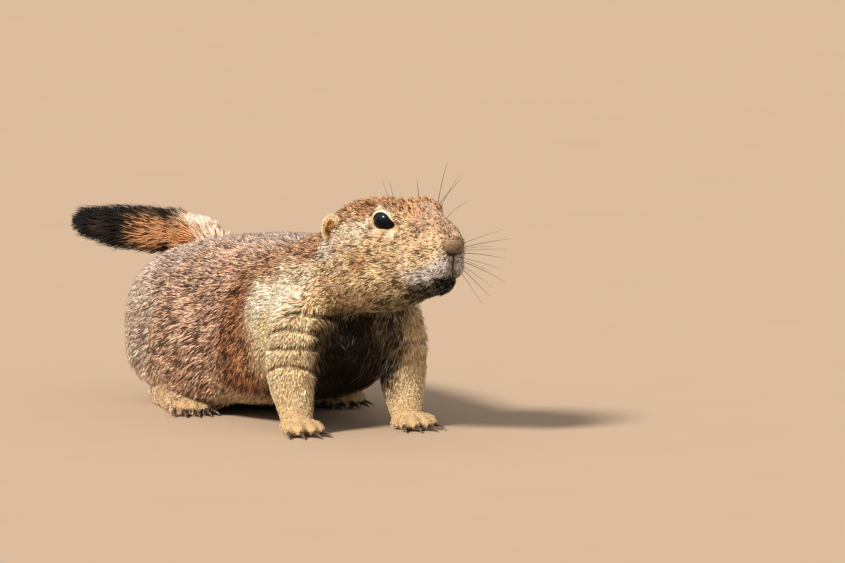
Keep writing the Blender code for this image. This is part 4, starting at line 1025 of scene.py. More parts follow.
def relaxed(points: np.ndarray, triangles: np.ndarray, stiff: np.ndarray, passes: int) -> np.ndarray:
    """Smooth a mesh by moving each point towards the mean of its neighbours.

    Args:
        points: the places.
        triangles: the faces.
        stiff: 1 where a point hardly moves and 0 where it moves freely.
        passes: how often.

    Returns:
        The new places: each pass goes 0.5 of the way forward and then 0.4 back, which keeps the volume.
    """
    ends = edges(triangles)
    degree = np.bincount(ends[:, 0], minlength=len(points))[:, None]
    for step in [0.5, -0.4] * passes:
        mean = np.stack(
            [np.bincount(ends[:, 0], points[ends[:, 1], axis], len(points)) for axis in range(3)], axis=1
        ) / np.maximum(degree, 1)
        points = points + step * (1.0 - 0.85 * stiff[:, None]) * (mean - points)
    return points


def swollen_copy(node: str, swell: float) -> tuple:
    """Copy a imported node, merge its loose triangles, and move its surface outwards.

    Args:
        node: the node's name.
        swell: how far, in metres.

    Returns:
        Its points and triangles.
    """
    points, triangles = read_mesh(frame_mesh(node))
    _, first, place = np.unique(np.round(points / 1e-6).astype(np.int64), axis=0, return_index=True,
                                return_inverse=True)
    points, triangles = points[first], place.ravel()[triangles]
    whole = (triangles[:, 0] != triangles[:, 1]) & (triangles[:, 1] != triangles[:, 2]) \
        & (triangles[:, 2] != triangles[:, 0])
    triangles = triangles[whole]
    normals = point_normals(points, triangles)
    return without_whiskers(points, triangles, normals) + normals * swell, triangles


def without_whiskers(points: np.ndarray, triangles: np.ndarray, normals: np.ndarray) -> np.ndarray:
    """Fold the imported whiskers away, so that the skin closes over their roots.

    A point is on a whisker where another lies within 1 mm of it and faces the other way, or where all of its
    neighbours are on one. Each such point moves to the nearest point that is not.

    Args:
        points: a node's points.
        triangles: its faces.
        normals: one a point.

    Returns:
        The points, those of whiskers moved.
    """
    near = ((points[:, None] - points) ** 2).sum(axis=2) < (1.0 * MM) ** 2
    thin = (near & (normals @ normals.T < -0.4)).any(axis=1)
    ends = edges(triangles)
    solid_beside = np.bincount(ends[:, 0], (~thin)[ends[:, 1]], len(points))
    thin |= solid_beside == 0
    kept = np.nonzero(~thin)[0]
    folded = points.copy()
    for spot in np.array_split(np.nonzero(thin)[0], 1 + thin.sum() // 500):
        if len(spot):
            away = ((points[spot, None] - points[kept]) ** 2).sum(axis=2)
            folded[spot] = points[kept[away.argmin(axis=1)]]
    return folded


def frame_mesh(node: str) -> bpy.types.Mesh:
    """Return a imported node's own mesh, to be read and never changed."""
    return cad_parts[node].data


@dataclass
class Socket:
    """One eye: the ball, the outline between the lids, and the lids' ring."""

    head: HeadFrame
    side: str
    radius: float = 6.7 * MM
    open_radius: float = 4.15
    corner_angle: float = math.radians(-27)
    corner_reach: float = 0.72
    corner_width: float = math.radians(27)
    # The skin is sunk, and no hair grows, out to this share of the way from the opening's middle to its edge.
    cover: float = 1.16
    centre: np.ndarray = field(init=False)
    axes: np.ndarray = field(init=False)

    def __post_init__(self) -> None:
        """Set the eye's centre and its axes: outwards, forwards and upright."""
        self.centre = centre_of(f"eye_{self.side}")
        outward = unit(self.head.left * SIDES[self.side] * 0.92 + self.head.forward * 0.36 + UP * 0.10)
        ahead = unit(self.head.forward - outward * (self.head.forward @ outward))
        self.axes = np.stack((outward, ahead, unit(UP - outward * (UP @ outward) - ahead * (UP @ ahead))))

    def outline(self, angle: np.ndarray) -> np.ndarray:
        """Give the opening's edge at angles from forwards round to up, in mm from the eye's own axis.

        It is a circle of the open radius, drawn out to a low corner in front by a bell curve, then widened by
        a tenth forwards, flattened a little and moved back.

        Args:
            angle: in radians.

        Returns:
            Rows of (forward, up).
        """
        turn = (angle - self.corner_angle + math.pi) % (2 * math.pi) - math.pi
        reach = self.open_radius * (1 + self.corner_reach * np.exp(-((turn / self.corner_width) ** 2)))
        return np.stack((1.1 * reach * np.cos(angle) - 1.1, 0.93 * reach * np.sin(angle)), axis=-1)

    def opening(self, points: np.ndarray) -> np.ndarray:
        """Tell how far out from the opening's middle points lie: below 1 inside it, large elsewhere."""
        out, ahead, up = ((points - self.centre) @ self.axes.T / MM).T
        angle = np.arctan2(up / 0.93, (ahead + 1.1) / 1.1)
        edge = self.outline(angle) + (1.1, 0.0)
        share = np.hypot(ahead + 1.1, up) / np.hypot(edge[:, 0], edge[:, 1])
        return np.where((out > 0) & (np.hypot(ahead, up) < 12), share, 99.0)

    def ball(self) -> Shell:
        """Make the eyeball: a globe with a low swell over the pupil, dark brown round a black pupil.

        Returns:
            The shell.
        """
        points, triangles, ways = globe(self.centre, self.axes, np.full(3, self.radius), 40, 56)
        swell = 0.25 * MM * np.exp(-((1 - ways[:, :1]) / 0.16) ** 2)
        points = points + swell * (ways @ self.axes)
        iris = smoothstep(0.86, 0.93, ways[:, 0])[:, None]
        tint = linear("0F0C0C") * (1 - iris) + linear("030406") * iris
        # The open sky's reflection in the wet globe: a soft blue-grey bloom above the pupil.
        bloom = np.exp(-(((ways[:, 2] - 0.34) / 0.26) ** 2) - ((ways[:, 1] / 0.42) ** 2))[:, None]
        tint = tint * (1 - 0.6 * bloom) + linear("2A3644") * 0.6 * bloom
        return Shell(points, triangles, tint)

    def lids(self) -> Shell:
        """Make the lids: a soft roll carried round the opening, thin and dark at the eye, pale outside.

        The profile is a closed loop of (how far out from the opening's edge as a share, distance from the
        eye's centre in mm); the ring follows the outline times that share, laid on a ball of that distance.

        Returns:
            The shell, a closed ring.
        """
        profile = np.array((
            (1.00, 6.55), (0.985, 6.80), (1.02, 7.04), (1.08, 7.18), (1.16, 7.20), (1.26, 7.05), (1.40, 6.70),
            (1.58, 6.15), (1.50, 5.70), (1.28, 6.00), (1.12, 6.30),
        ))
        rim = np.array((1.0, 0.96, 0.72, 0.28, 0.0, 0.0, 0.0, 0.0, 0.3, 0.7, 1.0))
        angle = np.linspace(0, 2 * math.pi, 96, endpoint=False)
        edge = self.outline(angle)
        middle = np.array((-0.4, -0.4))
        flat = middle + (edge - middle)[:, None] * profile[None, :, :1]
        # The upper lid is a little thicker than the lower one.
        thick = profile[None, :, 1] + 0.12 * np.sin(angle)[:, None] * (profile[None, :, 1] > 6.9)
        out = np.sqrt(np.maximum(thick ** 2 - (flat ** 2).sum(axis=2), 0.3))
        local = np.concatenate((out[..., None], flat), axis=2).reshape(-1, 3) * MM
        tint = linear("2B201C") * rim[:, None] + linear("F8EACC") * (1 - rim[:, None])
        triangles = grid_triangles(len(angle), len(profile), ring=True)
        last = grid_triangles(2, len(profile), ring=True)
        wrap = np.where(last < len(profile), last + (len(angle) - 1) * len(profile), last - len(profile))
        triangles = np.concatenate((triangles, wrap))
        points = self.centre + local @ self.axes
        if enclosed(points, triangles) < 0:
            triangles = triangles[:, ::-1]
        return Shell(points, triangles, np.tile(tint, (len(angle), 1)))

    def lid_hair(self, points: np.ndarray, _: np.ndarray) -> np.ndarray:
        """Give the lids' hair: cream, lying away from the eye's axis, a row of the pelage's table a point."""
        away = points - self.centre
        out = unit(away - (away @ self.axes[0])[:, None] * self.axes[0])
        hair = plain_hair(Pelt.EYE_RING, 1.5, 0.35, 0.17, len(points))
        hair[:, Pelage.LIE] = out
        dark = smoothstep(1.14, 1.04, self.opening(points))[:, None]
        for band in Pelage.TINTS:
            hair[:, band] += (linear("2B201C") - hair[:, band]) * dark
        return hair


def enclosed(points: np.ndarray, triangles: np.ndarray) -> float:
    """Return the volume that the faces enclose, which is below zero where they point inwards."""
    a, b, c = corners(points, triangles)
    return float(np.einsum("ij,ij->i", a - points.mean(axis=0), np.cross(b - a, c - a)).sum())


@dataclass
class Eyes:
    """Both eyes and their lids."""

    head: HeadFrame
    lids: dict = field(default_factory=dict)

    def pieces(self) -> None:
        """Make an eyeball and a ring of lids on each side."""
        cornea, lid = CORNEA.material(), LID_SKIN.material()
        for side in SIDES:
            socket = Socket(self.head, side)
            ball = socket.ball().piece(f"eyeball_{side}", cornea, "eye")
            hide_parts(f"eye_{side}")
            lids = socket.lids()
            lids.piece(f"lids_{side}", lid, "face_fur")
            outer = socket.opening(lids.points)[lids.triangles].min(axis=1) > 1.03
            surface = Surface(lids.points, lids.triangles[outer], point_normals(lids.points, lids.triangles))
            self.lids[side] = (surface, socket)


@dataclass
class Nose:
    """The nose's dome, with the slit that runs under it out to each nostril."""

    head: HeadFrame
    reach: tuple = (5.4, 6.2, 5.2)
    drop: float = 1.2
    crown: float = 0.86
    # From the slit's lowest point under the nose out to the nostril and round its wing: behind the dome's
    # middle, aside and up, in mm.
    slit: tuple = (
        (-2.9, 0.0, -4.2), (-2.6, 2.2, -4.0), (-1.9, 4.0, -3.4), (-0.4, 5.4, -2.4), (1.6, 6.5, -1.0),
    )
    slit_depth: float = 1.6
    slit_breadth: float = 0.72
    surface: Surface = field(init=False)

    def piece(self) -> bpy.types.Object:
        """Make the dome on a globe of directions, pressed in by a bell curve along the slits.

        Returns:
            The piece.
        """
        centre = self.middle()
        axes = self.head.axes()
        points, triangles, ways = globe(centre, axes, np.array(self.reach) * MM, 90, 120)
        # The dome is a little squarer across than a ball: its shoulders fill out above the nostrils.
        local = (points - centre) @ axes.T
        fuller = 1 + 0.06 * np.exp(-(((ways[:, 2] - 0.35) / 0.5) ** 2)) * np.abs(ways[:, 1])
        local[:, 1] *= fuller
        # Its top is drawn down to run on from the bridge.
        local[:, 2] *= np.where(local[:, 2] > 0, self.crown, 1.0)
        points = centre + local @ axes
        deep = np.zeros(len(points))
        for side in SIDES.values():
            away = path_distance(points, self.slit_path(side))
            deep = np.maximum(deep, np.exp(-((away / (self.slit_breadth * MM)) ** 2)))
        points = points - unit(points - centre) * (self.slit_depth * MM * deep)[:, None]
        top = smoothstep(-0.5, 0.9, ways[:, 2])[:, None]
        tint = linear("5E4C3E") * (1 - top) + linear("8A745C") * top
        # Painted shade: along the pressed-in slits the dome's colour goes to near black.
        tint = tint * (1 - deep[:, None]) ** 2 + linear("0E0A09") * (1 - (1 - deep[:, None]) ** 2)
        piece = Shell(points, triangles, tint).piece("nose_pad", NOSE_LEATHER.material(), "nose_skin")
        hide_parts("nose")
        hairy = (deep[triangles] < 0.25).all(axis=1)
        self.surface = Surface(points, triangles[hairy], point_normals(points, triangles))
        return piece

    def slit_path(self, side: float) -> np.ndarray:
        """Return the slit's line on one side, in metres."""
        return self.middle() + self.head.turn(self.slit, side) * MM

    def middle(self) -> np.ndarray:
        """Return the dome's middle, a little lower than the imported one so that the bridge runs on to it."""
        return centre_of("nose") - UP * self.drop * MM

    def share(self, points: np.ndarray) -> np.ndarray:
        """Return how far places lie from the dome's middle: 1 on the dome, more outside it."""
        local = (points - self.middle()) @ self.head.axes().T / MM
        local[:, 2] /= np.where(local[:, 2] > 0, self.crown, 1.0)
        return np.linalg.norm(local / np.array(self.reach), axis=1)

    def nap(self, points: np.ndarray, _: np.ndarray) -> np.ndarray:
        """Give the nose's hair: a close tan-grey nap that lies back, and white lip hair under the slits.

        Args:
            points: places in metres.
            _: the way the nose faces there, which the nap's lie doesn't need.

        Returns:
            A row a point, with the pelage's columns.
        """
        nap = plain_hair(Pelt.NOSE_NAP, 0.75, 0.16, 0.15, len(points))
        lip = plain_hair(Pelt.LIP, 1.1, 0.3, 0.18, len(points))
        bridge = plain_hair(Pelt.BRIDGE, 2.6, 0.5, 0.22, len(points))
        local = self.head.measure(points) - self.head.measure(self.middle()[None])
        away = np.minimum(*(path_distance(points, self.slit_path(side)) for side in SIDES.values())) / MM
        # The line of the slit as a height over the distance aside, read from its own points.
        _, aside, up = np.array(self.slit).T
        below = smoothstep(0.0, -0.5, local[:, 2] - np.interp(np.abs(local[:, 1]), aside, up))[:, None]
        hair = nap * (1 - below) + lip * below
        # Nearest the slit the leather is all but bare, and its nap is darkened as painted shade.
        near = smoothstep(0.7, 2.4, away)[:, None]
        hair[:, Pelage.LENGTH] *= 0.3 + 0.7 * near[:, 0]
        # Towards its edge the nap grows out over the seam and takes the bridge's colours.
        edge = smoothstep(-3.4, 0.6, local[:, 0])[:, None] * (1 - below)
        hair = hair * (1 - edge) + bridge * edge
        hair[:, Pelage.LIE] = self.head.turn(np.tile((1.0, 0.0, 0.25), (len(points), 1)))
        # Painted shade: the nap above the slit darkens towards it; the lip hair below keeps its colour.
        for band in Pelage.TINTS:
            hair[:, band] *= np.where(below > 0.5, 1.0, 0.45 + 0.55 * near)
        return hair


@dataclass
class Lips:
    """A near-black line along both nostrils, the cleft of the upper lip and the mouth: partly their bare dark
    skin, partly painted shade in these slits and grooves.
    """

    skin: Skin
    nose: Nose
    # Half the width in mm at a line's start and its end: nostrils, cleft, mouth.
    widths: tuple = ((0.62, 1.1), (0.5, 0.36), (0.4, 0.2))
    proud: float = 0.35 * MM
    steps: int = 36

    def piece(self) -> bpy.types.Object:
        """Lay a thin soft-edged line along each path, drawn onto the nearest skin.

        Returns:
            The piece.
        """
        lines = []
        for side in SIDES.values():
            lines.append((self.nose.slit_path(side), self.widths[0]))
            lines.append((self.skin.head.at(self.skin.MOUTH_LINE, side), self.widths[2]))
        lines.append((self.skin.head.at(self.skin.LIP_GROOVE), self.widths[1]))
        shells = [self.line(path, *widths) for path, widths in lines]
        return Shell.joined(shells).piece("lip_and_nostril_skin_and_shade", LID_SKIN.material(), "nose_skin")

    def line(self, path: np.ndarray, first: float, last: float) -> Shell:
        """Make one line: a flattened round profile that sinks into the skin at both ends.

        Args:
            path: its rough course in metres.
            first: half its width at its start, in mm.
            last: half its width at its end, in mm.

        Returns:
            The shell.
        """
        share = np.linspace(0, 1, self.steps)
        course = read_between(share, np.linspace(0, 1, len(path)), path)
        ground = np.concatenate((self.skin.points, self.nose.surface.points))
        facing_out = np.concatenate((self.skin.normals, self.nose.surface.normals))
        nearest = np.array([np.argmin(((ground - place) ** 2).sum(axis=1)) for place in course])
        course = ground[nearest] + facing_out[nearest] * self.proud
        for _ in range(6):
            course[1:-1] = (course[:-2] + 2 * course[1:-1] + course[2:]) / 4
        ends = np.minimum(share, 1 - share)
        radii = (first + (last - first) * share) * MM * (0.35 + 0.65 * smoothstep(0.0, 0.08, ends))
        # Near black: the bare skin's own dark together with painted shade in the slit or groove.
        return carried_profile(course, radii, 10, 0.9, np.tile(linear("0C0807"), (self.steps, 1)))


@dataclass
class Ears:
    """The low round ears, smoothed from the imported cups."""

    pelage: Pelage
    voxel: float = 0.35 * MM
    surfaces: dict = field(default_factory=dict)

    def pieces(self) -> None:
        """Make each ear: a fine even copy of its solid, relaxed, coloured by its tracts."""
        finish = EAR_SKIN.material()
        for side in SIDES:
            rough = linked("ear", *swollen_copy(f"ear_{side}", 0.0))
            rough.modifiers.new("fuse", "REMESH").voxel_size = self.voxel
            points, triangles = read_mesh(applied(rough))
            bpy.data.objects.remove(rough)
            points = relaxed(points, triangles, np.zeros(len(points)), passes=8)
            normals = point_normals(points, triangles)
            hair = self.hair(points, normals)
            tint = Pelage.ground(hair)
            self.surfaces[side] = Surface(points, triangles, normals)
            piece = Shell(points, triangles, tint).piece(f"ear_flap_{side}", finish, "ear_fur")
            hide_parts(f"ear_{side}")

    def hair(self, points: np.ndarray, normals: np.ndarray) -> np.ndarray:
        """Give an ear's hair: orange-brown down inside the cup, darkened as painted shade where the cup opens
        deep, and pale longer hair on its back and rim.

        Args:
            points: places in metres.
            normals: the way the ear faces there.

        Returns:
            A row a point, with the pelage's columns.
        """
        head = self.pelage.head
        side = np.sign(head.measure(points)[:, 1].mean())
        middle = (points.min(axis=0) + points.max(axis=0)) / 2
        open_way = unit(head.turn((-0.75, side * 0.65, 0.05)))
        broad_way = unit(np.cross(UP, open_way)) * side
        broad, high = (points - middle) @ broad_way / MM, (points - middle) @ UP / MM
        # Broad runs to the front edge. The cup ends a fifth inside the outline, and further in at the back.
        outline = np.hypot((broad - 0.5) / (0.5 * np.ptp(broad)), (high + 0.6) / (0.5 * np.ptp(high)))
        inside = (smoothstep(0.0, 0.4, normals @ open_way) * smoothstep(0.85, 0.6, outline))[:, None]
        # Painted shade: low at the front of the cup, where the ear opens deep, the hair is darkened.
        opening_shade = np.exp(-(((broad - 1.4) / 1.0) ** 2) - ((high + 2.0) / 2.2) ** 2)[:, None] * inside
        down = plain_hair(Pelt.EAR_INSIDE, 1.7, 0.5, 0.22, len(points))
        rim = plain_hair(Pelt.EAR_RIM, 2.0, 0.55, 0.24, len(points))
        hair = down * inside + rim * (1 - inside)
        for band in Pelage.TINTS:
            hair[:, band] *= 1 - 0.85 * opening_shade
        out = unit(points - middle + UP * 1.5 * MM)
        hair[:, Pelage.LIE] = unit(out + head.turn((0.5, 0.0, 0.4)))
        return hair


@dataclass
class Claws:
    """The long digging claws, each carried along its packed claw's own line."""

    feet: tuple = (("fore_right", 4), ("fore_left", 4), ("hind_right", 5), ("hind_left", 5))
    arch: float = 0.55 * MM
    rows: int = 14

    def piece(self) -> bpy.types.Object:
        """Make all claws as one piece, dark at the root and worn lighter at the tip.

        Returns:
            The piece.
        """
        shells, nodes = [], []
        for foot, count in self.feet:
            nodes += [f"claw_{foot}_{number}" for number in range(1, count + 1)]
        share = np.linspace(0, 1, self.rows)
        for node in nodes:
            points = read_points(frame_mesh(node))
            root = points[points[:, 0] < points[:, 0].min() + 0.9 * MM]
            tip = points[points[:, 0] > points[:, 0].max() - 0.4 * MM].mean(axis=0)
            centre = (root.min(axis=0) + root.max(axis=0)) / 2
            radius = 0.5 * float(np.median([np.ptp(root[:, 2]), np.ptp(root[:, 1])]))
            # The line is a parabola over the straight one, and the radius falls as the root of what is left.
            lift = UP * (4 * self.arch * share * (1 - share))[:, None]
            path = centre + (tip - centre) * share[:, None] + lift
            radii = np.maximum(radius * (1 - share) ** 0.55, 0.12 * MM)
            tint = linear("2A211D") * (1 - share[:, None]) + linear("7A6654") * share[:, None] ** 2
            shells.append(carried_profile(path, radii, 12, 1.15, tint))
        piece = Shell.joined(shells).piece("digging_claws", HORN.material(), "claw_horn")
        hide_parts(*nodes)
        return piece


@dataclass(frozen=True)
class Unwrap:
    """A cylinder round a stretch of the body, on which its hair's roots are laid out.

    centre is a place on the axis in mm, axis its way, seam the way from it in which the map is cut, and tile
    the corner and size of the part of the map that it fills.
    """

    centre: tuple
    axis: tuple
    seam: tuple
    tile: tuple = (0.0, 0.0, 1.0, 1.0)

    def place(self, points: np.ndarray) -> np.ndarray:
        """Lay points out: across is the turn round the axis, up the distance along it."""
        axis = unit(np.array(self.axis, dtype=float))
        seam = np.array(self.seam, dtype=float)
        seam = unit(seam - axis * (seam @ axis))
        other = np.cross(axis, seam)
        away = points - np.array(self.centre) * MM
        turn = np.arctan2(-(away @ other), -(away @ seam)) / (2 * math.pi) + 0.5
        along = away @ axis
        along = (along - along.min()) / max(np.ptp(along), 1e-6)
        corner, size = np.array(self.tile[:2]), np.array(self.tile[2:])
        return corner + size * (0.02 + 0.96 * np.stack((turn, along), axis=1))


@dataclass
class Coat:
    """Tufts of hair over the skin, grown region by region."""

    skin: Skin
    pelage: Pelage
    head: HeadFrame
    eyes: Eyes
    nose: Nose
    ears: Ears
    # The size of a tuft's own place on the map.
    patch: float = 0.003
    # Neighbouring tufts within a fleck mostly share a dark or a pale tip: its size as a share of a clump's.
    fleck: float = 0.75
    # How much the flecks' places are squeezed along the hair, which draws the flecks out along it.
    streak: float = 0.55
    # How far the tips of a clump lean together, as a share of the way to its middle.
    leaning: float = 0.55
    # The legs' region ends at this height, in mm.
    shoulder: float = 62.0

    def grow(self, ground: Surface, density: float, unwrap: Unwrap, seed: int, rings: int = 2,
             clump: float = 2.0, hair_at: Callable | None = None) -> Shell:
        """Grow tufts on a surface, each root at a place drawn evenly by area.

        A tuft's middle line is root + lie * length * t + normal * height * (1 - (1 - t)^2), for t from 0 to
        1, and its cross section is a triangle with its ridge outwards that narrows to the tip. Tips of one
        clump lean together.

        Args:
            ground: the surface.
            density: tufts to the square millimetre.
            unwrap: lays the roots out on the map.
            seed: for all draws.
            rings: rings of three points below the tip, 2 for short hair and 3 for long.
            clump: size of a clump in mm.
            hair_at: gives the hair at places that face given ways, where it isn't the skin's own.

        Returns:
            All tufts as one shell.
        """
        draw = np.random.default_rng(seed)
        points, triangles, normals = ground.points, ground.triangles, ground.normals
        a, b, c = corners(points, triangles)
        area = np.linalg.norm(np.cross(b - a, c - a), axis=1) / 2
        count = int(area.sum() / MM ** 2 * density * GROWN)
        ladder = np.cumsum(area)
        pick = np.searchsorted(ladder, (np.arange(count) + draw.random(count)) / count * ladder[-1])
        pick = np.minimum(pick, len(triangles) - 1)
        u, v = draw.random((2, count))
        flip = u + v > 1
        u, v = np.where(flip, 1 - u, u), np.where(flip, 1 - v, v)
        share = np.stack((1 - u - v, u, v), axis=1)[..., None]
        root = (points[triangles[pick]] * share).sum(axis=1)
        up = unit((normals[triangles[pick]] * share).sum(axis=1))
        if hair_at is None:
            keep = ~self.bare(root, up)
            root, up = root[keep], up[keep]
            count = len(root)
        hair = (hair_at or self.pelage.at)(root, up)
        lie = hair[:, Pelage.LIE]
        lie = unit(lie - up * (lie * up).sum(axis=1, keepdims=True))
        across = np.cross(up, lie)
        sway = np.radians(9.0) * draw.normal(size=count) + np.radians(11.0) * ripple(root, 9 * MM, seed + 1)
        lie = lie * np.cos(sway)[:, None] + across * np.sin(sway)[:, None]
        across = np.cross(up, lie)
        length = hair[:, Pelage.LENGTH] * MM * draw.uniform(0.75, 1.2, count)
        height = hair[:, Pelage.HEIGHT] * MM * draw.uniform(0.55, 1.25, count)
        width = hair[:, Pelage.WIDTH] * MM * draw.uniform(0.75, 1.2, count)
        lock = self.locks(root, clump, seed)
        lean = self.leaning * (self.middles(root, lock)[lock] - root)
        steps = np.array((0.0, 0.5) if rings == 2 else (0.0, 0.3, 0.65))
        widths = np.array((0.75, 1.0) if rings == 2 else (0.7, 1.0, 0.8))
        rows = []
        for step, wide in zip(steps, widths):
            middle = self.along(root, lie, up, length, height, lean, step)
            half = across * (width * wide / 2)[:, None]
            rows += [middle - half, middle + half, middle + up * (width * wide * 0.4)[:, None]]
        rows.append(self.along(root, lie, up, length, height, lean, 1.0))
        body = np.stack(rows, axis=1)
        body[..., 2] = np.maximum(body[..., 2], 0.12 * MM)
        size = body.shape[1]
        template = [(0, 2, 1)]
        for ring in range(rings - 1):
            for side in range(3):
                here, beside = 3 * ring + side, 3 * ring + (side + 1) % 3
                template += [(here, beside, beside + 3), (here, beside + 3, here + 3)]
        last = 3 * (rings - 1)
        template += [(last + side, last + (side + 1) % 3, size - 1) for side in range(3)]
        triangles = (np.arange(count)[:, None, None] * size + np.array(template)).reshape(-1, 3)
        tint = self.tints(root, hair, steps, body[:, ::3], draw, seed, self.fleck * clump)
        spots = [(x, t - 0.5) for t in steps for x in (-0.5, 0.5, 0.0)] + [(0.0, 0.5)]
        uv = unwrap.place(root)[:, None] + np.array(spots) * self.patch
        return Shell(body.reshape(-1, 3), triangles, tint.reshape(-1, 3), uv.reshape(-1, 2))

    @staticmethod
    def along(root: np.ndarray, lie: np.ndarray, up: np.ndarray, length: np.ndarray, height: np.ndarray,
              lean: np.ndarray, step: float) -> np.ndarray:
        """Return the middle line's places at one step from root (0) to tip (1), the root sunk 0.25 mm."""
        rise = height * (1 - (1 - step) ** 2) - 0.25 * MM * (1 - step)
        return root + lie * (length * step)[:, None] + up * rise[:, None] + lean * step ** 2

    @staticmethod
    def locks(root: np.ndarray, size: float, seed: int) -> np.ndarray:
        """Number the lock that each root belongs to: a cell of the given size in mm, warped by a ripple."""
        warp = np.stack([ripple(root, 2.2 * size * MM, seed + 10 + axis) for axis in range(3)], axis=1)
        cell = np.floor((root / MM + 0.6 * size * warp) / size).astype(np.int64) + 4096
        return np.unique(cell @ np.array((1, 8192, 8192 ** 2)), return_inverse=True)[1].ravel()

    @staticmethod
    def middles(root: np.ndarray, lock: np.ndarray) -> np.ndarray:
        """Return the middle of each lock's roots."""
        many = np.bincount(lock)
        return np.stack([np.bincount(lock, root[:, axis]) / many for axis in range(3)], axis=1)

    def tints(self, root: np.ndarray, hair: np.ndarray, steps: np.ndarray, line: np.ndarray,
              draw: np.random.Generator, seed: int, size: float) -> np.ndarray:
        """Colour each tuft from its dark root over its shaft to a pale or a dark tip.

        Args:
            root: the roots.
            hair: their blended tracts.
            steps: the rings' places along the tuft.
            line: a place on each ring and the tip, where folds in the skin may shade it.
            draw: the region's random draws.
            seed: for the slow change of tone.
            size: of a fleck, in mm.

        Returns:
            A colour for each point of each tuft.
        """
        count = len(root)
        lie = hair[:, Pelage.LIE]
        along = ((root - root.mean(axis=0)) * lie).sum(axis=1, keepdims=True)
        fleck = self.locks(root - self.streak * along * lie, size, seed + 30)
        chance = 0.6 * draw.random(fleck.max() + 1)[fleck] + 0.4 * draw.random(count)
        # Ranking the sum brings it back to an even spread, so that the share of dark tips is kept.
        rank = np.argsort(np.argsort(chance)) / count
        dark = (rank < hair[:, Pelage.SHARE])[:, None]
        mix = np.clip(draw.uniform(0.1, 1.1, (count, 1)), 0.0, 1.0)
        shaft = hair[:, Pelage.SHAFT]
        tip = np.where(dark, hair[:, Pelage.DARK], shaft + (hair[:, Pelage.PALE] - shaft) * mix)
        shaft = np.where(dark, 0.45 * shaft + 0.55 * hair[:, Pelage.DARK], shaft)
        tone = np.exp(0.12 * draw.normal(size=count) + 0.14 * draw.normal(size=fleck.max() + 1)[fleck])
        tone = (tone * (1 + 0.10 * ripple(root, 8 * MM, seed + 20)))[:, None]
        light = [self.skin.shading(line[:, number])[:, None] for number in range(line.shape[1])]
        rows = []
        for number, step in enumerate(steps):
            # From the root the tuft runs out of the underfur's dark: partly the hair's own dark base, partly
            # painted shade deep in the coat.
            base = hair[:, Pelage.UNDER] + (shaft - hair[:, Pelage.UNDER]) * min(1.0, step / 0.4)
            base = base + (tip - base) * float(smoothstep(0.1, 0.85, np.array(step)))
            rows += [base * tone * light[number]] * 3
        rows.append(tip * tone * light[-1])
        return np.stack(rows, axis=1)

    def bare(self, root: np.ndarray, up: np.ndarray) -> np.ndarray:
        """Tell where no hair grows: the eyes, the nose, the line of the mouth and the soles."""
        bald = (root[:, 2] < 1.6 * MM) & (up[:, 2] < -0.4)
        for side in SIDES:
            # Hair before the eye lies back towards it, so it starts further off than the hair behind.
            socket = Socket(self.head, side)
            before = smoothstep(-2.0 * MM, 3.0 * MM, (root - socket.centre) @ self.head.forward)
            bald |= socket.opening(root) < socket.cover + 0.2 * before
        bald |= self.nose.share(root) < 0.99
        for line in self.skin.mouth:
            bald |= line.strength(root) > 0.5
        return bald

    def pieces(self) -> None:
        """Grow every region, each as a piece under 200,000 triangles."""
        finish = HAIR.material()
        skin = self.skin
        middle = skin.points[skin.triangles].mean(axis=1)
        open_skin = ~self.bare(middle, unit(skin.normals[skin.triangles].sum(axis=1)))
        region = self.regions(middle)
        for name, (mask, density, unwraps, slot, rings, clump) in region.items():
            shells = []
            for number, (part, unwrap) in enumerate(unwraps):
                seed = 100 + 17 * len(name) + 7 * number + sum(map(ord, name))
                chosen = skin.surface(mask & part & open_skin)
                shells.append(self.grow(chosen, density, unwrap, seed, rings, clump))
            Shell.joined(shells).piece(f"coat_{name}", finish, slot)
        self.features().piece("coat_nose_lids_ears", finish, "face_fur")
        self.strands(middle).piece("coat_long_strands", finish, "throat_fur")

    def strands(self, middle: np.ndarray) -> Shell:
        """Grow sparse long pale hairs over the chest, which is painted near black as shade, and denser ones as
        a fringe at the inner elbows.

        Args:
            middle: the middles of the skin's triangles.

        Returns:
            The hairs as one shell.
        """
        x, y, z = middle.T / MM
        aside = np.abs(y - CHEST_LEFT)
        chest = (x > 70) & (aside < 19) & (z > 38) & (z < 60)
        elbow = (x > 70) & (aside > 12) & (aside < 24) & (z > 26) & (z < 50)
        shells = []
        for part, density, corner, seed in ((chest, 0.06, 0, 91), (elbow, 0.2, 0.5, 92)):
            unwrap = Unwrap((75, -3, 60), (1, 0, 0), (0, 1, 0), (corner, 0, 0.5, 1))
            shells.append(self.grow(self.skin.surface(part), density, unwrap, seed, 3, 3.0, self.strand_hair))
        return Shell.joined(shells)

    def strand_hair(self, points: np.ndarray, normals: np.ndarray) -> np.ndarray:
        """Give the skin's own lie to long thin pale hairs, a row of the pelage's table a point."""
        lie = self.pelage.at(points, normals)[:, Pelage.LIE]
        # They also lean half as far towards the middle line.
        lie[:, 1] -= 0.5 * np.sign(points[:, 1] - CHEST_LEFT * MM)
        hair = plain_hair(Pelt.STRAND, 9.0, 2.6, 0.16, len(points))
        hair[:, Pelage.LIE] = unit(lie)
        return hair

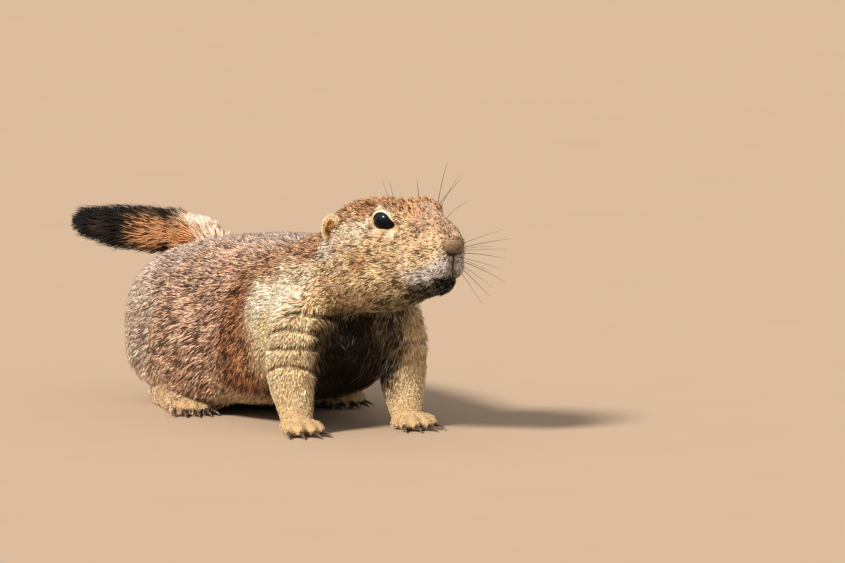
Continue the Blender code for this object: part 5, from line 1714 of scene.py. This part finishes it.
    def features(self) -> Shell:
        """Grow the nap of the nose, the lids' hair and the ears' down, each on its own part of the map.

        Returns:
            The tufts as one shell.
        """
        ahead, up = tuple(self.head.forward), (0.0, 0.0, 1.0)
        nose_middle = tuple(centre_of("nose") / MM)
        third = 1 / 3
        nose_map = Unwrap(nose_middle, ahead, (0, 0, -1), (0, 0, 1, third))
        shells = [self.grow(self.nose.surface, 13.0, nose_map, 61, clump=0.6, hair_at=self.nose.nap)]
        for number, side in enumerate(SIDES):
            lids, socket = self.eyes.lids[side]
            middle = tuple(socket.centre / MM)
            lid_map = Unwrap(middle, tuple(socket.axes[0]), (0, 0, -1), (0.5 * number, third, 0.5, third))
            shells.append(self.grow(lids, 9.0, lid_map, 71 + number, clump=0.7, hair_at=socket.lid_hair))
            middle = tuple(centre_of(f"ear_{side}") / MM)
            ear_map = Unwrap(middle, up, ahead, (0.5 * number, 2 * third, 0.5, third))
            shells.append(self.grow(self.ears.surfaces[side], 5.0, ear_map, 81 + number, clump=0.9,
                                    hair_at=self.ears.hair))
        return Shell.joined(shells)

    def regions(self, middle: np.ndarray) -> dict:
        """Divide the skin into regions of hair.

        Args:
            middle: the middles of the skin's triangles.

        Returns:
            For each region its triangles, tufts to the square millimetre, parts with their unwraps, material
            slot, rings to a tuft, and clump size.
        """
        x, y, z = middle.T / MM
        left = y > spine_aside(x)
        right = ~left
        everywhere = np.ones(len(middle), dtype=bool)
        back, aside, up = self.head.measure(middle).T
        tail = ((middle / MM - (-93.5, 7.6, 68)) @ (-0.78, 0.2, 0.62) > 0) & (z > 56)
        feet, legs = np.zeros((2, len(middle)), dtype=bool)
        for side in SIDES:
            feet |= within(middle, f"forefoot_{side}", 1.2) | within(middle, f"hindfoot_{side}", 1.2)
            legs |= within(middle, f"forearm_{side}", 1.0)
            legs |= within(middle, f"upper_arm_{side}", 1.0) & (z < self.shoulder)
        feet &= ~tail
        legs &= ~feet
        muzzle = (back < 19) & (up > -30) & within(middle, "head", 3.0)
        skull = (back < 63) & ~muzzle & within(middle, "head", 3.0) & ~legs
        fore = (x > 52) & ~(skull | legs | feet)
        trunk = ~(tail | feet | legs | skull | fore)

        def whole(centre: Sequence, axis: Sequence, seam: Sequence) -> list:
            """Map a region in one part."""
            return [(everywhere, Unwrap(tuple(centre), tuple(axis), tuple(seam)))]

        forward, beside, front = self.head.forward, self.head.left, "face_fur"
        snout, skull_middle = (self.head.at((behind, 0, -6)) / MM for behind in (18, 38))
        long_way, down, leftwards, rightwards = (1, 0, 0), (0, 0, -1), (0, 1, 0), (0, -1, 0)
        neck_middle, trunk_middle = (75, -3, 60), (0, 0, 45)
        legs_unwrap = [
            (right, Unwrap((82, -30, 30), down, leftwards, (0.0, 0.0, 0.5, 1.0))),
            (left, Unwrap((82, 25, 30), down, rightwards, (0.5, 0.0, 0.5, 1.0))),
        ]
        feet_unwrap = [
            (right & (x > 60), Unwrap((90, -32, 4), long_way, down, (0.0, 0.0, 0.5, 0.5))),
            (left & (x > 60), Unwrap((90, 27, 4), long_way, down, (0.5, 0.0, 0.5, 0.5))),
            (right & (x < 60), Unwrap((-30, -42, 4), long_way, down, (0.0, 0.5, 0.5, 0.5))),
            (left & (x < 60), Unwrap((-30, 36, 4), long_way, down, (0.5, 0.5, 0.5, 0.5))),
        ]
        rows = {
            "muzzle": (muzzle, 7.0, whole(snout, UP, -forward), front, 2, 1.1),
            "face_right": (skull & (aside < 0), 3.3, whole(skull_middle, forward, beside), front, 2, 1.4),
            "face_left": (skull & (aside >= 0), 2.8, whole(skull_middle, forward, -beside), front, 2, 1.4),
            "neck_right": (fore & right, 1.9, whole(neck_middle, long_way, leftwards), "throat_fur", 2, 2.0),
            "neck_left": (fore & left, 1.7, whole(neck_middle, long_way, rightwards), "throat_fur", 2, 2.0),
            "forelegs": (legs, 2.25, legs_unwrap, "leg_fur", 2, 1.6),
            "feet": (feet, 2.0, feet_unwrap, "leg_fur", 2, 1.0),
        }
        # The flanks are denser towards the chest, and on the right side, which the photo shows.
        for name, half, seam, dense in (
            ("right", right, leftwards, (1.5, 1.08)), ("left", left, rightwards, (1.25, 1.0)),
        ):
            for end, part, density in (("fore", x > 0, dense[0]), ("rear", x <= 0, dense[1])):
                mapped = whole(trunk_middle, long_way, seam)
                rows[f"flank_{name}_{end}"] = (trunk & half & part, density, mapped, "flank_fur", 2, 2.2)
        tail_map = whole((-120, -9, 75.3), (-0.82, -0.57, 0.03), down)
        rows["tail"] = (tail, 3.4, tail_map, "tail_fur", 3, 2.6)
        return rows


def within(points: np.ndarray, node: str, margin: float) -> np.ndarray:
    """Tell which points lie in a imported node's box, grown by a margin in mm."""
    low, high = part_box(node)
    return ((points > np.array(low) - margin * MM) & (points < np.array(high) + margin * MM)).all(axis=1)


@dataclass
class Whiskers:
    """Long dark hairs on the muzzle and brows, each a thin tapered tube on a bowed line."""

    head: HeadFrame
    radius: float = 0.15 * MM
    ceiling: float = CAD_TOP + 10.0 * MM
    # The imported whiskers: root behind the nose, to the left and up, then how far the tip lies from it, in mm.
    stiff: tuple = (
        ((19.0, 10.0, 14.5), (0.0, 7.0, 21.5)),
        ((20.0, 10.5, 13.5), (-5.0, 13.5, 15.0)),
        ((31.0, 10.0, 17.6), (3.5, 2.0, 11.0)),
        ((31.0, -10.0, 17.6), (3.5, -1.5, 11.0)),
        ((28.0, -9.5, 17.6), (1.5, -2.5, 12.0)),
        ((8.0, 10.0, -5.0), (-17.0, 22.0, 5.0)),
        ((9.0, 10.5, -7.0), (-16.0, 21.0, -3.0)),
        ((8.0, 10.5, -9.5), (-14.0, 19.0, -11.0)),
        ((7.0, 10.0, -11.5), (-10.0, 14.0, -17.0)),
        ((8.0, -10.0, -5.0), (-1.0, -16.0, 4.0)),
        ((9.0, -10.5, -7.5), (1.0, -17.0, -2.0)),
        ((8.0, -10.5, -10.0), (-1.0, -14.0, -8.0)),
    )
    # Finer ones between them.
    fine: tuple = (
        ((17.0, 9.5, 12.5), (-4.0, 9.5, 17.0)),
        ((13.0, 9.0, 8.5), (-5.0, 12.0, 9.5)),
        ((9.0, 10.0, -4.0), (-14.0, 19.0, 8.0)),
        ((9.5, 10.5, -6.0), (-16.5, 20.0, 1.0)),
        ((9.5, 10.7, -8.2), (-15.0, 19.0, -7.0)),
        ((8.5, 10.5, -10.5), (-12.0, 16.0, -14.0)),
        ((6.5, 9.5, -12.5), (-7.0, 10.0, -18.0)),
        ((11.0, 11.5, -6.5), (-8.0, 22.0, 2.0)),
        ((11.0, 11.5, -9.0), (-7.0, 20.0, -8.0)),
        ((6.5, -9.5, -6.0), (-3.0, -14.0, 1.0)),
        ((10.5, -11.5, -6.0), (4.0, -15.0, 2.0)),
        ((10.5, -11.5, -9.0), (3.0, -14.0, -5.0)),
        ((6.5, -9.5, -9.0), (-3.0, -12.0, -5.0)),
    )

    def piece(self) -> bpy.types.Object:
        """Make all whiskers as one piece.

        Each runs root + way * t + lift * t * (1 - t), where the lift bows its middle up against its weight.

        Returns:
            The piece.
        """
        draw = np.random.default_rng(5)
        share = np.linspace(0, 1, 12)
        shells = []
        for rows, thick in ((self.stiff, 1.0), (self.fine, 0.6)):
            for start, way in rows:
                root = self.head.at(start)
                reach = self.head.turn(way) * MM * draw.uniform(0.92, 1.04)
                lift = self.head.turn((0.5, 0.0, 0.85)) * 4.0 * MM * draw.uniform(0.4, 1.2)
                bow = lift * (share * (1 - share))[:, None]
                path = root - unit(reach) * 1.2 * MM + reach * share[:, None] + bow
                path[:, 2] = np.minimum(path[:, 2], self.ceiling)
                near = start[1] < 0
                radii = self.radius * thick * (0.7 if near else 1.0) * (1 - share) ** 0.7 + 0.03 * MM
                # Painted light: whiskers on the near right side, which faces the key light, are coloured a
                # lighter brown than the far ones.
                tint = linear("5A4638" if near else "2A201B")
                shells.append(carried_profile(path, radii, 5, 1.0, np.tile(tint, (12, 1))))
        return Shell.joined(shells).piece("whiskers", WHISKER.material(), "face_fur")


@dataclass
class Studio:
    """The pale floor, the soft lights and the camera at the photo's angle."""

    azimuth: float = math.radians(65)
    elevation: float = math.radians(6)
    pixels_to_mm: float = 2.15
    frame_size: tuple = (845, 563)
    distance: float = 8.0
    sensor: float = 36.0
    floor_radius: float = 15.0
    floor_sides: int = 96
    # The pixel of the photo's frame that shows the middle between the fore paws, and that place in mm.
    paws_pixel: tuple = (355.0, 432.5)
    paws: tuple = (91.53, -2.87, 0.0)

    def build(self) -> None:
        """Lay the floor, hang the lights and set the camera."""
        self.floor()
        self.camera()
        self.light("key", (0.35, -0.75, 0.72), 5.0, 11.0, "FFF4E8")
        world = bpy.data.worlds.new("pale_surround")
        world.use_nodes = True
        shade = world.node_tree.nodes["Background"]
        shade.inputs["Color"].default_value = (*linear("F1EAE3"), 1.0)
        shade.inputs["Strength"].default_value = 0.6
        bpy.context.scene.world = world
        view = bpy.context.scene.view_settings
        view.view_transform = "Standard"
        view.look = "None"

    def floor(self) -> None:
        """Lay a plain round floor of matt plaster, 30 m across, under the feet."""
        turn = np.linspace(0, 2 * math.pi, self.floor_sides, endpoint=False)
        rim = self.floor_radius * np.stack((np.cos(turn), np.sin(turn), 0 * turn), axis=1)
        mesh = bpy.data.meshes.new("floor")
        mesh.from_pydata(rim.tolist(), [], [list(range(self.floor_sides))])
        # Plaster is matt and almost even, with a faint mottling that keeps the ground from looking empty.
        made = bpy.data.materials.new("matt_plaster_floor")
        made.use_nodes = True
        tree = made.node_tree
        shader = tree.nodes["Principled BSDF"]
        place = add_node(tree, "ShaderNodeTexCoord")
        noise = add_node(tree, "ShaderNodeTexNoise", {"Vector": place.outputs["Object"], "Scale": 14.0})
        tone = add_node(tree, "ShaderNodeMapRange", {0: noise.outputs[0], 3: 0.97, 4: 1.03})
        plaster = {0: tuple(linear("B39D86")), "Scale": tone.outputs[0]}
        shade = add_node(tree, "ShaderNodeVectorMath", plaster, operation="SCALE")
        tree.links.new(shade.outputs["Vector"], shader.inputs["Base Color"])
        shader.inputs["Roughness"].default_value = 0.9
        mesh.materials.append(made)
        floor = bpy.data.objects.new("floor", mesh)
        bpy.context.scene.collection.objects.link(floor)

    def light(self, name: str, way: tuple, strength: float, spread: float, colour: str) -> None:
        """Hang a far soft light, even over the whole floor.

        Args:
            name: its name.
            way: from the animal to the light.
            strength: in watts to the square metre.
            spread: how wide the light looks from the animal, in degrees.
            colour: in sRGB.
        """
        lamp = bpy.data.lights.new(name, "SUN")
        lamp.energy = strength
        lamp.angle = math.radians(spread)
        lamp.color = tuple(linear(colour))
        hung = bpy.data.objects.new(name, lamp)
        hung.matrix_world = facing(np.array(way), -np.array(way))
        bpy.context.scene.collection.objects.link(hung)

    def camera(self) -> None:
        """Set the camera 8 m off, so that the paws' middle falls on its pixel of the photo's frame."""
        out = np.array((math.sin(self.azimuth), -math.cos(self.azimuth), 0.0))
        right = np.array((math.cos(self.azimuth), math.sin(self.azimuth), 0.0))
        back = out * math.cos(self.elevation) + UP * math.sin(self.elevation)
        above = np.cross(back, right)
        wide, high = self.frame_size
        target = (
            np.array(self.paws)
            + right * (wide / 2 - self.paws_pixel[0]) / self.pixels_to_mm
            + above * (self.paws_pixel[1] - high / 2) / self.pixels_to_mm
        ) * MM
        lens = bpy.data.cameras.new("camera")
        lens.sensor_width = self.sensor
        lens.lens = self.sensor * self.distance / (wide / self.pixels_to_mm * MM)
        lens.clip_end = 100.0
        seen = bpy.data.objects.new("camera", lens)
        seen.matrix_world = facing(target + back * self.distance, -back)
        bpy.context.scene.collection.objects.link(seen)
        bpy.context.scene.camera = seen


def facing(place: np.ndarray, way: np.ndarray) -> Matrix:
    """Make the matrix of something at a place that looks along a way, upright."""
    back = unit(-np.asarray(way, dtype=float))
    right = unit(np.cross(UP, back))
    above = np.cross(back, right)
    rows = np.eye(4)
    rows[:3, 0], rows[:3, 1], rows[:3, 2], rows[:3, 3] = right, above, back, place
    return Matrix(rows.tolist())


def main() -> None:
    """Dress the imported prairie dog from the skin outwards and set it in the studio."""
    logging.basicConfig(level=logging.INFO, format="%(name)s: %(message)s")
    head, tail = HeadFrame.read(), TailLine()
    pelage = Pelage(head, tail)
    eyes, nose, ears = Eyes(head), Nose(head), Ears(pelage)
    skin = Skin(head, tail, pelage, nose)
    skin.build()
    skin.piece()
    eyes.pieces()
    nose.piece()
    Lips(skin, nose).piece()
    ears.pieces()
    Claws().piece()
    Coat(skin, pelage, head, eyes, nose, ears).pieces()
    Whiskers(head).piece()
    Studio().build()


if __name__ == "__main__":
    main()
